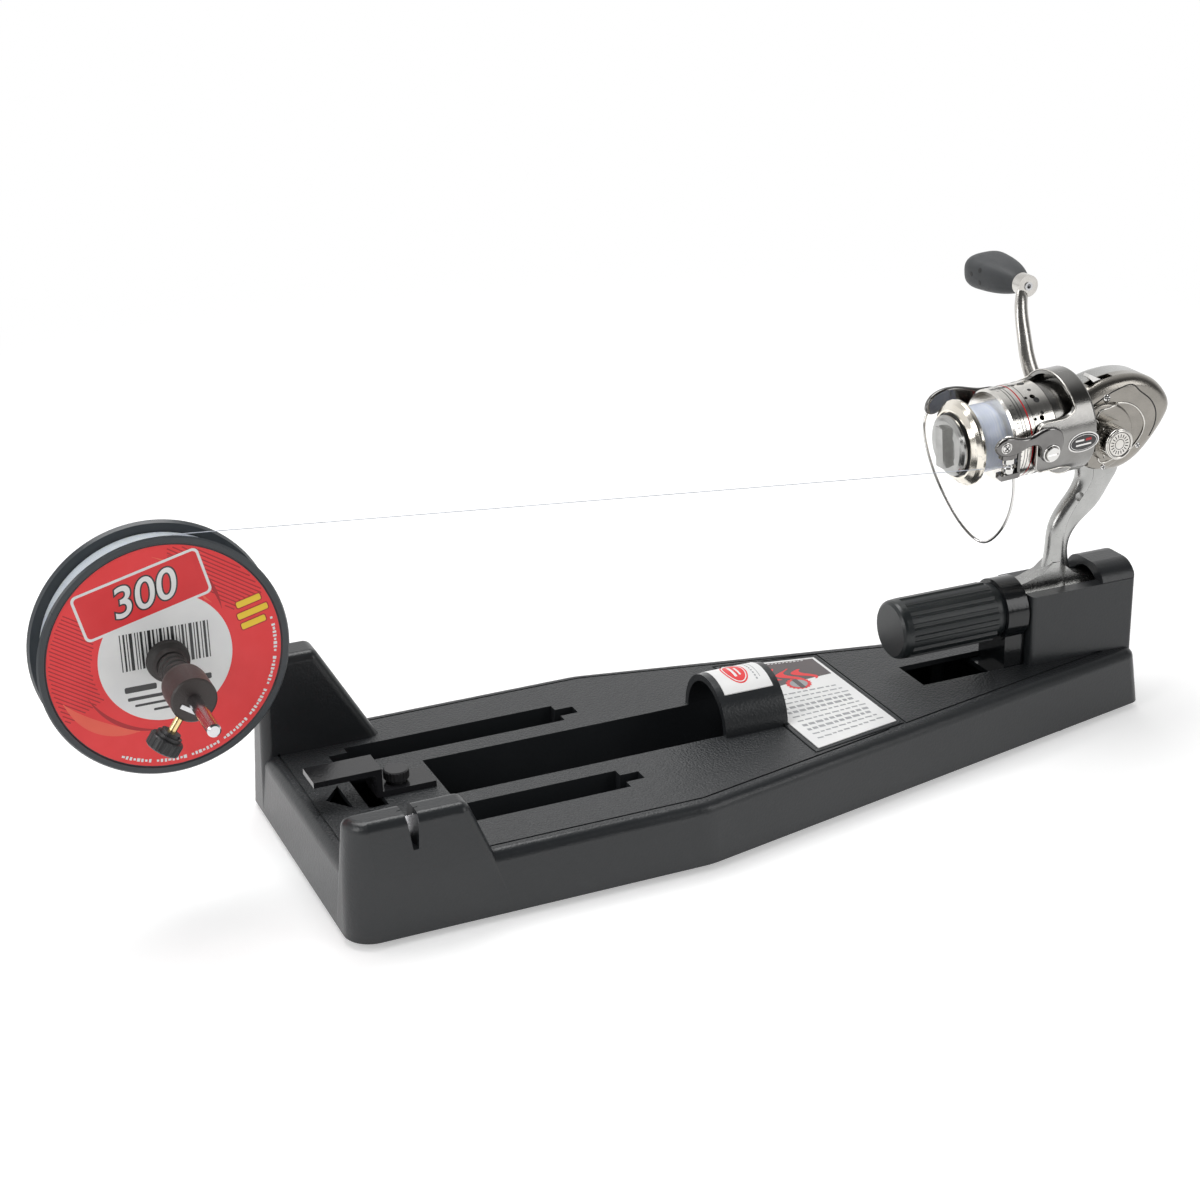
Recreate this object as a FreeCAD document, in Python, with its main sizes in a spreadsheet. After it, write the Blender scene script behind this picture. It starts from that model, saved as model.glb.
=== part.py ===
"""Bench winder that fills a fishing reel with line from a supply spool.

Frame: +X runs from the supply spool to the reel, +Y across the base to the tall post, +Z is up.
The origin is at the middle of the base's length, on its centre plane, on the floor.
All lengths are in millimetres and all angles in degrees.
"""
import FreeCAD, Part
import math
import os
import Sketcher

doc = FreeCAD.newDocument("LineWinder")
sheet = doc.addObject("Spreadsheet::Sheet", "Sizes")
pieces = []


# ---------------------------------------------------------------- sizes and formulas

class Size:
    """A number together with the sheet formula that gives it."""

    def __init__(self, number, formula):
        self.number = float(number)
        self.formula = formula

    def __add__(self, other):
        other = as_size(other)
        return Size(self.number + other.number, f"({self.formula} + {other.formula})")

    def __radd__(self, other):
        return as_size(other) + self

    def __sub__(self, other):
        other = as_size(other)
        return Size(self.number - other.number, f"({self.formula} - {other.formula})")

    def __rsub__(self, other):
        return as_size(other) - self

    def __mul__(self, other):
        other = as_size(other)
        return Size(self.number * other.number, f"({self.formula} * {other.formula})")

    def __rmul__(self, other):
        return as_size(other) * self

    def __truediv__(self, other):
        other = as_size(other)
        return Size(self.number / other.number, f"({self.formula} / {other.formula})")

    def __neg__(self):
        return Size(-self.number, f"(0 - {self.formula})")


def as_size(value):
    """A plain number becomes a size with itself as its formula."""
    if isinstance(value, Size):
        return value
    return Size(value, f"({float(value)!r})")


def given(name, number):
    """One driving dimension: a row of the sheet with its name and its number."""
    row = given.rows = given.rows + 1
    sheet.set(f"A{row}", name)
    sheet.set(f"B{row}", str(number))
    sheet.setAlias(f"B{row}", name)
    return Size(number, f"Sizes.{name}")


given.rows = 0


def sine(angle):
    return Size(math.sin(math.radians(angle.number)), f"sin({angle.formula})")


def cosine(angle):
    return Size(math.cos(math.radians(angle.number)), f"cos({angle.formula})")


def tangent(angle):
    return sine(angle) / cosine(angle)


# ---------------------------------------------------------------- drawing helpers

ALONG_X = ((0, 0, 1), 0)
ALONG_Y = ((0, 0, 1), 90)
ALONG_MINUS_Y = ((0, 0, 1), -90)
ALONG_Z = ((0, 1, 0), -90)


def bind(thing, name, value):
    """Sets one property of an object and ties it to the sheet."""
    value = as_size(value)
    setattr(thing, name, value.number)
    thing.setExpression(name, value.formula)


def place(thing, x=0, y=0, z=0, turn=ALONG_X, frame=None):
    """Puts an object at x, y, z with one turn, in the row frame or in a named frame."""
    spot = "; ".join(as_size(value).formula for value in (x, y, z))
    axis = "; ".join(str(value) for value in turn[0])
    text = f"placement(vector({spot}); rotation(vector({axis}); {as_size(turn[1]).formula}))"
    if frame is not None:
        text = f"{frame.Name}.Placement * {text}"
    thing.setExpression("Placement", text)
    return thing


def add_frame(name, x, y, z, turn=ALONG_X, frame=None):
    return place(doc.addObject("App::Placement", name), x, y, z, turn, frame)


def box(name, low, high, frame=None):
    """A block between two corners."""
    block = doc.addObject("Part::Box", name)
    for side, start, end in zip(("Length", "Width", "Height"), low, high):
        bind(block, side, as_size(end) - start)
    return place(block, *low, frame=frame)


def rod(name, radius, length, x=0, y=0, z=0, turn=ALONG_X, frame=None):
    """A round bar that starts at x, y, z and runs along the turned X axis."""
    bar = doc.addObject("Part::Cylinder", name)
    bind(bar, "Radius", radius)
    bind(bar, "Height", length)
    base = f"placement(vector({as_size(x).formula}; {as_size(y).formula}; {as_size(z).formula}); "
    axis = "; ".join(str(value) for value in turn[0])
    base += f"rotation(vector({axis}); {as_size(turn[1]).formula}))"
    upright = " * placement(vector(0; 0; 0); rotation(vector(0; 1; 0); 90))"
    lead = f"{frame.Name}.Placement * " if frame is not None else ""
    bar.setExpression("Placement", lead + base + upright)
    return bar


def frustum(name, low_rectangle, low_z, high_rectangle, high_z):
    """A tapered block between a lower and an upper rectangle (x0, x1, y0, y1)."""
    block = doc.addObject("Part::Wedge", name)
    names = (("Xmin", "Xmax", "Zmax", "Zmin"), ("X2min", "X2max", "Z2max", "Z2min"))
    for ends, rectangle in zip(names, (low_rectangle, high_rectangle)):
        start, end, near, far = (as_size(value) for value in rectangle)
        values = [start, end, -near, -far]
        for end, value in zip(ends, values):
            bind(block, end, value)
    bind(block, "Ymin", low_z)
    bind(block, "Ymax", high_z)
    block.setExpression("Placement", "placement(vector(0; 0; 0); rotation(vector(1; 0; 0); 90))")
    return block


def draw(sketch, outline):
    """Draws a closed outline of straight sides, with every corner tied to the sheet."""
    corners = [(as_size(x), as_size(y)) for x, y in outline]
    count = len(corners)
    for number, (x, y) in enumerate(corners):
        next_x, next_y = corners[(number + 1) % count]
        start = FreeCAD.Vector(x.number, y.number, 0)
        end = FreeCAD.Vector(next_x.number, next_y.number, 0)
        sketch.addGeometry(Part.LineSegment(start, end), False)
    for number in range(count):
        sketch.addConstraint(Sketcher.Constraint("Coincident", number, 2, (number + 1) % count, 1))
    for number, (x, y) in enumerate(corners):
        for kind, value in (("DistanceX", x), ("DistanceY", y)):
            constraint = Sketcher.Constraint(kind, -1, 1, number, 1, value.number)
            index = sketch.addConstraint(constraint)
            sketch.setExpression(f"Constraints[{index}]", value.formula)
    return sketch


def draw_circle(sketch, x, y, radius):
    """Draws a circle with its centre and radius tied to the sheet."""
    x, y, radius = as_size(x), as_size(y), as_size(radius)
    circle = Part.Circle(FreeCAD.Vector(x.number, y.number, 0), FreeCAD.Vector(0, 0, 1), radius.number)
    number = sketch.addGeometry(circle, False)
    for kind, value in (("DistanceX", x), ("DistanceY", y)):
        index = sketch.addConstraint(Sketcher.Constraint(kind, -1, 1, number, 3, value.number))
        sketch.setExpression(f"Constraints[{index}]", value.formula)
    index = sketch.addConstraint(Sketcher.Constraint("Radius", number, radius.number))
    sketch.setExpression(f"Constraints[{index}]", radius.formula)
    return sketch


PLANES = {
    "XY": "rotation(vector(0; 0; 1); 0)",
    "XZ": "rotation(vector(1; 0; 0); 90)",
    "YZ": "rotation(vector(1; 1; 1); 120)",
}


def prism(name, plane, outline, start, end, frame=None, draft=None):
    """An outline in a plane, pushed from start to end along the plane's own axis."""
    start, end = as_size(start), as_size(end)
    sketch = draw(doc.addObject("Sketcher::SketchObject", name + "_outline"), outline)
    level = {"XY": f"0; 0; {start.formula}", "XZ": f"0; {start.formula}; 0", "YZ": f"{start.formula}; 0; 0"}
    lead = f"{frame.Name}.Placement * " if frame is not None else ""
    sketch.setExpression("Placement", f"{lead}placement(vector({level[plane]}); {PLANES[plane]})")
    push = doc.addObject("Part::Extrusion", name)
    push.Base = sketch
    push.DirMode = "Normal"
    push.Solid = True
    push.Reversed = plane == "XZ"
    bind(push, "LengthFwd", end - start)
    if draft is not None:
        bind(push, "TaperAngle", draft)
    return push


def fuse(name, *parts):
    union = doc.addObject("Part::MultiFuse", name)
    union.Shapes = list(parts)
    union.Refine = True
    return union


def cut(name, base, *tools):
    tool = tools[0] if len(tools) == 1 else fuse(name + "_tools", *tools)
    difference = doc.addObject("Part::Cut", name)
    difference.Base = base
    difference.Tool = tool
    difference.Refine = True
    return difference


def common(name, first, second):
    shared = doc.addObject("Part::Common", name)
    shared.Base = first
    shared.Tool = second
    return shared


def rounded(name, base, radius, chosen):
    """Rounds the edges of a solid for which chosen(edge) is true."""
    doc.recompute()
    radius = as_size(radius).number
    fillet = doc.addObject("Part::Fillet", name)
    fillet.Base = base
    numbers = [number for number, edge in enumerate(base.Shape.Edges, 1) if chosen(edge)]
    fillet.Edges = [(number, radius, radius) for number in numbers]
    return fillet


def direction(edge):
    """How far an edge's ends are apart along X, Y and Z, as shares of its length."""
    start = edge.valueAt(edge.FirstParameter)
    end = edge.valueAt(edge.LastParameter)
    span = end - start
    length = max(span.Length, 1e-6)
    return abs(span.x) / length, abs(span.y) / length, abs(span.z) / length


def middle(edge):
    return edge.valueAt((edge.FirstParameter + edge.LastParameter) / 2)


def finish(piece, label):
    """Names a finished sub-part and keeps it for the export."""
    piece.Label = label
    pieces.append(piece)
    return piece


def body(name):
    return doc.addObject("PartDesign::Body", name)


def body_sketch(part, name, role="XY_Plane"):
    """A sketch on one of a body's own origin planes."""
    sketch = part.newObject("Sketcher::SketchObject", name)
    plane = [item for item in part.Origin.OriginFeatures if item.Role == role][0]
    sketch.AttachmentSupport = (plane, [""])
    sketch.MapMode = "FlatFace"
    return sketch


def turned(name, profile, x=0, y=0, z=0, turn=ALONG_X, frame=None):
    """A body turned on its own X axis from a profile of (distance along, radius) corners."""
    part = body(name)
    sketch = draw(body_sketch(part, name + "_profile"), profile)
    spin = part.newObject("PartDesign::Revolution", name + "_turning")
    spin.Profile = sketch
    spin.ReferenceAxis = (sketch, ["H_Axis"])
    spin.Angle = 360
    return place(part, x, y, z, turn, frame)


def around(part, name, feature, count):
    """Repeats the last feature of a turned body around its X axis."""
    pattern = part.newObject("PartDesign::PolarPattern", name)
    pattern.Originals = [feature]
    axis = [item for item in part.Origin.OriginFeatures if item.Role == "X_Axis"][0]
    pattern.Axis = (axis, [""])
    pattern.Angle = 360
    pattern.Occurrences = count
    part.Tip = pattern
    return pattern


def flute(part, name, outline_or_circle, depth, count, start=None):
    """Cuts one groove that runs along a turned body and repeats it around the body."""
    sketch = body_sketch(part, name + "_section", "YZ_Plane")
    if isinstance(outline_or_circle, list):
        draw(sketch, outline_or_circle)
    else:
        draw_circle(sketch, *outline_or_circle)
    if start is not None:
        sketch.setExpression("AttachmentOffset.Base.z", as_size(start).formula)
    pocket = part.newObject("PartDesign::Pocket", name)
    pocket.Profile = sketch
    bind(pocket, "Length", depth)
    pocket.Reversed = True
    part.Tip = pocket
    return around(part, name + "_ring", pocket, count)

# ---------------------------------------------------------------- driving dimensions

# general clearances
fit = 0.05  # radial clearance of a turning or sliding fit
gap = 0.3  # clearance between sliding mouldings

# base
base_length = 485  # moulded base, end to end
base_half = 89.2  # half the base's width at the spool end, at the rim
base_tip_half = 25  # half the base's width at the reel end, at the rim
kink_from_left = 186  # spool end to the place where the sides start to close in
shell_height = 32  # rim to top plate
foot_height = 4  # floor to rim
wall = 3  # thickness of the moulding
side_draft = 5.5  # lean of the side walls
corner_round = 14  # rounding of the two spool end corners
kink_round = 40  # rounding of the kinks in the sides
tip_round = 7  # rounding of the two reel end corners
edge_round = 6  # rounding of the top edge
border_inset = 6.5  # edge of the plate to the border groove
border_width = 1.2  # width of the border groove
border_depth = 0.7  # depth of the border groove
slot_half = 9.7  # half the width of a side slot
slot_off = 42.7  # centre plane to a side slot
slot_start = 43  # spool end to the full width of a side slot
slot_length = 116  # full width length of a side slot
notch_length = 10  # narrow notch at each end of a side slot
notch_half = 4  # half the width of a notch
slot_depth = 20  # depth of a side slot's well
channel_half = 21.1  # half the width of the tool channel
channel_start = 75  # spool end to the tool channel
channel_end = 258  # spool end to the far end of the tool channel
channel_depth = 24  # depth of the tool channel
arch_start = 225.6  # spool end to the arch over the channel
arch_length = 36  # length of the arch
arch_wall = 3.5  # thickness of the arch
recess_start = 34  # spool end to the recess under the clip's step
recess_length = 10  # length of that recess
recess_half = 17  # half its width
vee_tip = 17  # spool end to the point of the three-cornered hole
vee_length = 10  # length of the three-cornered hole
vee_half = 13.2  # half its width
window_start = 350.5  # spool end to the opening under the clamp
window_half = 13.3  # half the width of that opening
block_start = 414.8  # spool end to the reel block
block_length = 66.8  # length of the reel block
block_half = 18.6  # half the width of the reel block
block_height = 41  # top plate to the block's shoulders
hood_length = 21  # length of the fixed hood at the block's rear end
hood_height = 49.5  # top plate to the top of the fixed hood
hood_back = 5.5  # thickness of the hood's rear wall
hood_round = 13  # rounding of the hood's top
hood_wall = 4  # thickness of the hood's arch over the reel's foot
block_round = 2.5  # rounding of the block's upright edges
trough_radius = 13  # hollow that the reel's foot lies in
trough_floor = 35  # top plate to the bottom of that hollow

# posts
far_post_top = 53  # top plate to the top of the tall post
far_post_foot_length = 83  # spool end to the tall post's far side, at the rim
far_post_foot_in = 57  # centre plane to the tall post's inner side, at the rim
far_post_top_end = 35  # spool end to the far side of the tall post's top
far_post_top_in = 61.5  # centre plane to the inner side of the tall post's top
far_post_top_out = 81.5  # centre plane to the outer side of the tall post's top
near_post_top = 28  # top plate to the top of the short post
near_post_foot_length = 86  # spool end to the short post's far side, at the rim
near_post_foot_in = 60  # centre plane to the short post's inner side, at the rim
post_draft = 3  # lean of the posts' outer sides
near_post_top_end = 62  # spool end to the far side of the short post's top
near_post_top_in = 69  # centre plane to the inner side of the short post's top
near_post_top_out = 85  # centre plane to the outer side of the short post's top
post_round = 5  # rounding of the posts

# labels
label_start = 262.7  # spool end to the label on the plate
label_length = 52  # length of that label
label_wide = 56  # half its width at the wide end
label_narrow = 45.4  # half its width at the narrow end
label_thickness = 0.4  # thickness of the stickers
label_margin = 4  # label edge to the groove around it
arch_label_half = 15  # half the width that the arch's sticker spans

# line cutter, bush, bottom plate and feet
cutter_left_from_end = 31  # spool end to the line cutter's notch
cutter_width = 6.4  # width of the cutter's notch at its top
cutter_depth = 17  # depth of the cutter's notch
cutter_lean_left = 2.2  # lean of the notch's side towards the spool end
cutter_lean_right = 1.4  # lean of the notch's other side
cutter_rib = 4  # thickness of the moulding around the cutter's notch
blade_y = -77  # centre plane to the line cutter's blade
blade_thickness = 0.6  # thickness of the cutter blade
blade_height = 16  # height of the cutter blade
blade_overlap = 2  # how far the blade runs into the post at each side
blade_tooth = 0.9  # depth of the blade's teeth
bush_radius = 5  # outside radius of the axle's bush
bush_length = 30  # length of the axle's bush
bush_proud = 2  # height of the bush over the post
post_hole_from_end = 15  # spool end to the axle's socket
post_hole_y = 72  # centre plane to the axle's socket
plate_seat = 2.4  # thickness of the bottom plate
foot_radius = 8  # radius of a rubber foot
foot_stem_radius = 3  # radius of the stem that holds a foot in the plate
wide_foot_from_end = 78  # spool end to the two wide-set feet
wide_foot_in = 14  # base's edge to the middle of a wide-set foot
tip_foot_from_end = 58  # reel end to the two close-set feet
tip_foot_y = 25  # centre plane to a close-set foot
screw_radius = 1.6  # radius of a bottom screw
screw_length = 12  # length of a bottom screw's shank
screw_head_radius = 3  # radius of a bottom screw's head
sink_depth = 1.4  # depth that the bottom screws' heads are let in
boss_radius = 4.5  # radius of the bosses that take the bottom screws
end_screw_from_end = 12  # spool end to the first pair of screws
end_screw_y = 49  # centre plane to the first pair of screws
kink_screw_past_kink = 8  # kink to the second pair of screws
kink_screw_in = 18  # base's edge to the second pair of screws
tip_screw_from_end = 100  # reel end to the third pair of screws
tip_screw_y = 30  # centre plane to the third pair of screws

# clip
clip_web = 41  # spool end to the clip's upright part
clip_width = 18  # width of the step-shaped clip
clip_thickness = 3  # thickness of the clip
clip_step = 15.5  # height of the clip's step
clip_upper = 35  # length of the clip's raised end
clip_lower = 31  # length of the clip's lower end
clip_screw_from_end = 54  # spool end to the clip's thumbscrew
clip_screw_radius = 2  # radius of the thumbscrew's shank
clip_knob_radius = 6.6  # radius of the thumbscrew's head
clip_knob_height = 5  # height of the thumbscrew's head
clip_nut_radius = 3.2  # radius of the brass insert under the clip
clip_nut_length = 8  # length of the brass insert

# reel clamp
bolt_height = 30  # top plate to the clamp bolt
bolt_radius = 3  # radius of the clamp bolt
bolt_length = 122  # length of the clamp bolt under its head
bolt_head_length = 4  # length of the bolt's hexagon head
bolt_head_radius = 5.2  # half of the hexagon's width across flats
clamp_knob_length = 64  # length of the clamp's grip knob
clamp_knob_radius = 16.5  # radius of the clamp's grip knob
bolt_end_gap = 5.7  # bolt's tip to the bottom of the knob's bore
jaw_start = 400.5  # spool end to the sliding jaw, clamped
jaw_length = 13  # length of the sliding jaw
jaw_radius = 17.5  # radius of the jaw's hood
jaw_wall = 3  # thickness of the jaw's front wall
shank_half = 12.9  # half the width of the jaw's shank
shoe_half = 17  # half the width of the jaw's shoe under the plate
shoe_thickness = 3  # thickness of that shoe
shoe_overlap = 6  # how far the shoe runs past the shank at each end

# axle and supply spool
axle_radius = 3.175  # radius of the steel axle, a quarter inch rod
axle_out = 57  # spool end to the axle, outwards
axle_height = 97.4  # top plate to the axle
axle_near_end = 100  # centre plane to the axle's near end
axle_bend = 14  # bend radius of the axle's centre line
flange_radius = 59.2  # radius of the supply spool's flanges
spool_width = 25.5  # width of the supply spool
flange_thickness = 2.4  # thickness of a flange
flange_lip = 3.9  # width of a flange's raised rim
lip_rise = 0.8  # height of that rim over the label
core_radius = 26  # radius of the core that the line is wound on
core_wall = 2.2  # thickness of the core
hub_radius = 7.5  # outside radius of the spool's hub
wound_radius = 54  # radius of the wound line
spool_bore_fit = 0.08  # radial clearance of the spool on the axle
label_bore = 12  # radius of the hole in the spool's label
paper = 0.2  # thickness of the spool's paper labels

# tensioner
cone_radius = 6.9  # large radius of the metal centring cones
cone_length = 6  # length of a centring cone
cup_radius = 10.3  # radius of the rubber friction cup
cup_length = 5  # length of the friction cup
sleeve_radius = 7  # radius of the ribbed spring sleeve
sleeve_length = 20  # length of the ribbed spring sleeve
sleeve_ribs = 4  # ribs along the spring sleeve
collar_radius = 10.6  # radius of the locking collar
collar_length = 22  # length of the locking collar
collar_screw_radius = 1.9  # radius of the brass locking screw
collar_screw_length = 21  # length of the brass locking screw
collar_knob_radius = 8  # radius of the locking screw's knob
screw_lean = 35  # angle of the locking screw from straight down
nut_thickness = 2  # thickness of the collar's steel nut plate
nut_half = 4.4  # half the width of the collar's nut plate
stop_radius = 8  # radius of the stop collar behind the spool
stop_length = 8  # length of the stop collar

# reel: place, body and stem
reel_from_end = 444.2  # spool end to the reel's reference point
reel_height = 134.6  # top plate to the reel's axis at that point
reel_tilt = 3.5  # rise of the reel's axis towards its rear
handle_back = 11  # reference point to the handle's axis, rearwards
handle_drop = 9  # reel axis to the handle's axis, downwards
body_half = 14  # half the thickness of the reel's body
body_round = 6.5  # rounding of the body's sides
body_wall = 2  # thickness of the body's casting
cover_split = -2.5  # where the side cover meets the body, across the reel
cap_split = 42  # where the rear cap meets the body, along the reel
near_boss = 23  # reel's centre plane to the near bearing's face
boss_face = 22  # reel's centre plane to the far bearing's face
cover_radius = 18.5  # radius of the side cover's round panel
cover_rise = 2.4  # height of that panel
stem_half = 4.8  # half the thickness of the stem's rod
fin_half = 2.4  # half the thickness of the fin behind the rod
stem_hole_from_end = 451  # spool end to the hole through the stem
stem_hole_height = 89  # plate to the hole through the stem
ramp_half = 5.2  # half the thickness of the ramps between stem and foot
foot_from = 405.5  # spool end to the front of the reel's foot
foot_length = 59.5  # length of the reel's foot
foot_thickness = 3.6  # thickness of the reel's foot
foot_hole_radius = 2.6  # radius of the hole through the reel's stem

# reel: works
shaft_radius = 2  # radius of the reel's main shaft
shaft_front = -75.9  # front end of the main shaft
shaft_back = 38  # rear end of the main shaft
pinion_radius = 3.4  # outside radius of the pinion
pinion_start = -32  # front end of the pinion, from the reference point
pinion_end = 16  # rear end of the pinion
pinion_teeth = 7  # teeth on the pinion
pinion_bearing_radius = 7  # outside radius of the pinion's bearing
pinion_bearing_width = 4.5  # width of the pinion's bearing
bearing_seat = -9.5  # reference point to the front of the pinion's bearing
drive_radius = 12  # radius of the drive gear
drive_teeth = 36  # teeth on the drive gear's face
drive_shaft_radius = 3  # radius of the drive gear's shaft
bearing_radius = 6  # outside radius of the drive bearings
bearing_width = 4  # width of the drive bearings
hub_gear_radius = 11.66  # pitch radius of the gear that drives the crosswind wheel
hub_teeth = 22  # teeth on the gear that drives the crosswind wheel
case_front = 1  # rotor's back plate to the case's front edge
neck_reach = 2  # pinion's neck, end, ahead of the case's origin
wheel_face_off = 7.9  # crosswind gears' face, near side of the main shaft
wheel_radius = 9.54  # pitch radius of the crosswind wheel
wheel_teeth = 18  # teeth on the crosswind wheel
wheel_u = 32.15  # reference point to the crosswind wheel, rearwards
wheel_w = -10.5  # reel axis to the crosswind wheel, downwards
tooth_height = 1.2  # height of the crosswind gears' teeth
slider_u = 22.15  # place of the crosswind block on the main shaft
slider_length = 6  # length of the crosswind block
stroke = 14  # travel of the spool while it winds
lever_side = -8  # reel's centre plane to the near side of the lever
lever_width = 4.4  # width of the anti-reverse lever

# reel: rotor and bail
rotor_turn = 8  # turn of the rotor's arms from level, at rest
drum_radius = 22.2  # outside radius of the rotor's drum
rotor_radius = 28.4  # outside radius of the rotor's rim and arms
rotor_back = -0.8  # rear face of the rotor, from the reference point
cavity_radius = 23.6  # radius of the hollow at the rotor's rear
arm_inner = 26.2  # reel axis to the inside of a rotor arm
rim_front = -12.5  # reference point to the front of the rotor's rim
arm_half = 14.2  # half the width of a rotor arm
bail_thickness = 3.1  # thickness of the bail's arms
bail_pivot = -32  # reference point to the bail's pivots
pivot_radius = 2.2  # radius of the bail's pivot holes
roller_u = -56  # reference point to the line roller
roller_v = -27.5  # reel axis to the line roller, across
roller_low = -7  # lower end of the line roller
roller_high = 1.4  # upper end of the line roller
roller_radius = 3.3  # radius of the line roller
roller_cheek = 3  # thickness of the bail's arm under the line roller
roller_seat = 11.2  # rotor's plane to the seat of the roller's screw
roller_screw_radius = 1.3  # radius of the roller's screw
wire_radius = 0.8  # radius of the bail wire

# reel: spool and drag
skirt_radius = 25  # outside radius of the spool's skirt
skirt_front = -50  # reference point to the front of the skirt
skirt_length = 27  # length of the skirt
arbor_radius = 14  # radius of the arbor under the line
arbor_length = 13.5  # length of the wound part of the arbor
line_radius = 18.2  # radius of the line on the reel
lip_radius = 23.3  # radius of the spool's front lip
knob_radius = 16.4  # radius of the drag knob
seal_radius = 17.2  # radius of the black ring behind the drag knob

# reel: handle
handle_hub_start = 22.6  # reel's centre plane to the start of the handle's hub
arm_plane = 60.6  # reel's centre plane to the eye at the arm's end
hub_length = 21  # length of the handle's hub
arm_thickness = 5.5  # thickness of the handle's arm
eye_u = 14.2  # reference point to the grip's pin
eye_w = 55.8  # reel axis to the grip's pin, upwards
grip_length = 41  # length of the handle's grip
cap_radius = 8.6  # radius of the knurled cap on the handle's axis
cap_length = 7.6  # length of that cap
cap_grooves = 30  # grooves around the knurled cap

# line
line_diameter = 0.4  # diameter of the fishing line
line_offset = 4  # centre plane to where the line leaves the spool
line_leave = 53  # axle to where the line leaves the spool

for known in list(vars()):
    if isinstance(vars()[known], (int, float)):
        vars()[known] = given(known, vars()[known])

front_clear = case_front.number
neck_end = -neck_reach.number
wheel_face = -wheel_face_off.number
left = Size(0, "0") - base_length / 2
right = base_length / 2
rim = foot_height
plate = foot_height + shell_height
top_inset = shell_height * tangent(side_draft)
kink = left + kink_from_left
block_end = left + block_start + block_length
bolt_tip = block_end - hood_back - bolt_head_length - bolt_length
cutter_left = left + cutter_left_from_end
cutter_right = cutter_left + cutter_width
blade_low = plate + near_post_top - cutter_depth - blade_overlap
post_hole_x = left + post_hole_from_end
bolt_z = plate + bolt_height
clip_screw_x = left + clip_screw_from_end
trough_z = plate + trough_floor + trough_radius
wide_foot_x = left + wide_foot_from_end
wide_foot_y = base_half - wide_foot_in
tip_foot_x = right - tip_foot_from_end
end_screw_x = left + end_screw_from_end
kink_screw_x = kink + kink_screw_past_kink
kink_screw_y = base_half - kink_screw_in
tip_screw_x = right - tip_screw_from_end
axle_x = left - axle_out
axle_z = plate + axle_height
handle_x = handle_back
handle_z = -handle_drop
foot_spots = [(x, y * side) for side in (-1, 1)
              for x, y in ((wide_foot_x, wide_foot_y), (tip_foot_x, tip_foot_y))]
foot_spots.append((Size(0, "0"), Size(0, "0")))
screw_spots = [(x, y * side) for side in (-1, 1)
               for x, y in ((end_screw_x, end_screw_y), (kink_screw_x, kink_screw_y),
                            (tip_screw_x, tip_screw_y))]
reel = add_frame("ReelFrame", left + reel_from_end, 0, plate + reel_height, ((0, 1, 0), -reel_tilt))
rotor = add_frame("RotorFrame", 0, 0, 0, ((1, 0, 0), rotor_turn), reel)
doc.recompute()


# ---------------------------------------------------------------- base shell

def base_outline(inset, tip_inset=None):
    """The base's plan, drawn in by a distance all round."""
    tip_inset = inset if tip_inset is None else tip_inset
    half, tip = base_half - inset, base_tip_half - tip_inset
    return [(left + inset, -half), (kink, -half), (right - inset, -tip),
            (right - inset, tip), (kink, half), (left + inset, half)]


def upright(edge):
    return direction(edge)[2] > 0.9


def corner_envelope(name, inset):
    """A tall block with the base's plan and its two rounded spool end corners."""
    tall = prism(name, "XY", base_outline(inset), rim - 1, plate + far_post_top + 5, draft=-post_draft)
    left_corner = left.number + 12
    return rounded(name + "_soft", tall, corner_round - inset,
                   lambda edge: upright(edge) and middle(edge).x < left_corner)


def make_posts(inset, name):
    """The tall post and the short post, drawn in by a distance for their hollow insides."""
    far_foot = (left - 1, left + far_post_foot_length - inset, far_post_foot_in + inset, base_half + 1)
    far_top = (left - 1, left + far_post_top_end - inset, far_post_top_in + inset, far_post_top_out - inset)
    near_foot = (left - 1, left + near_post_foot_length - inset, -base_half - 1, -near_post_foot_in - inset)
    near_top = (left - 1, left + near_post_top_end - inset, inset - near_post_top_out,
                -near_post_top_in - inset)
    far = frustum(f"far_post_{name}", far_foot, rim, far_top, plate + far_post_top - inset)
    near = frustum(f"near_post_{name}", near_foot, rim, near_top, plate + near_post_top - inset)
    return [common(f"{post.Name}_cornered", post, corner_envelope(f"{post.Name}_envelope", inset))
            for post in (far, near)]


def soft_post(post):
    """Rounds a post's top and the upright edges away from the base's own rounded corner."""
    doc.recompute()
    top = post.Shape.BoundBox.ZMax - 0.1
    lowest = rim.number + 1
    corner_x = left.number + corner_round.number + 4
    corner_y = base_half.number - corner_round.number - 4

    def chosen(edge):
        point = middle(edge)
        in_corner = point.x < corner_x and abs(point.y) > corner_y
        return point.z > top or (point.z > lowest and not in_corner)

    return rounded(f"{post.Name}_soft", post, post_round, chosen)


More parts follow.
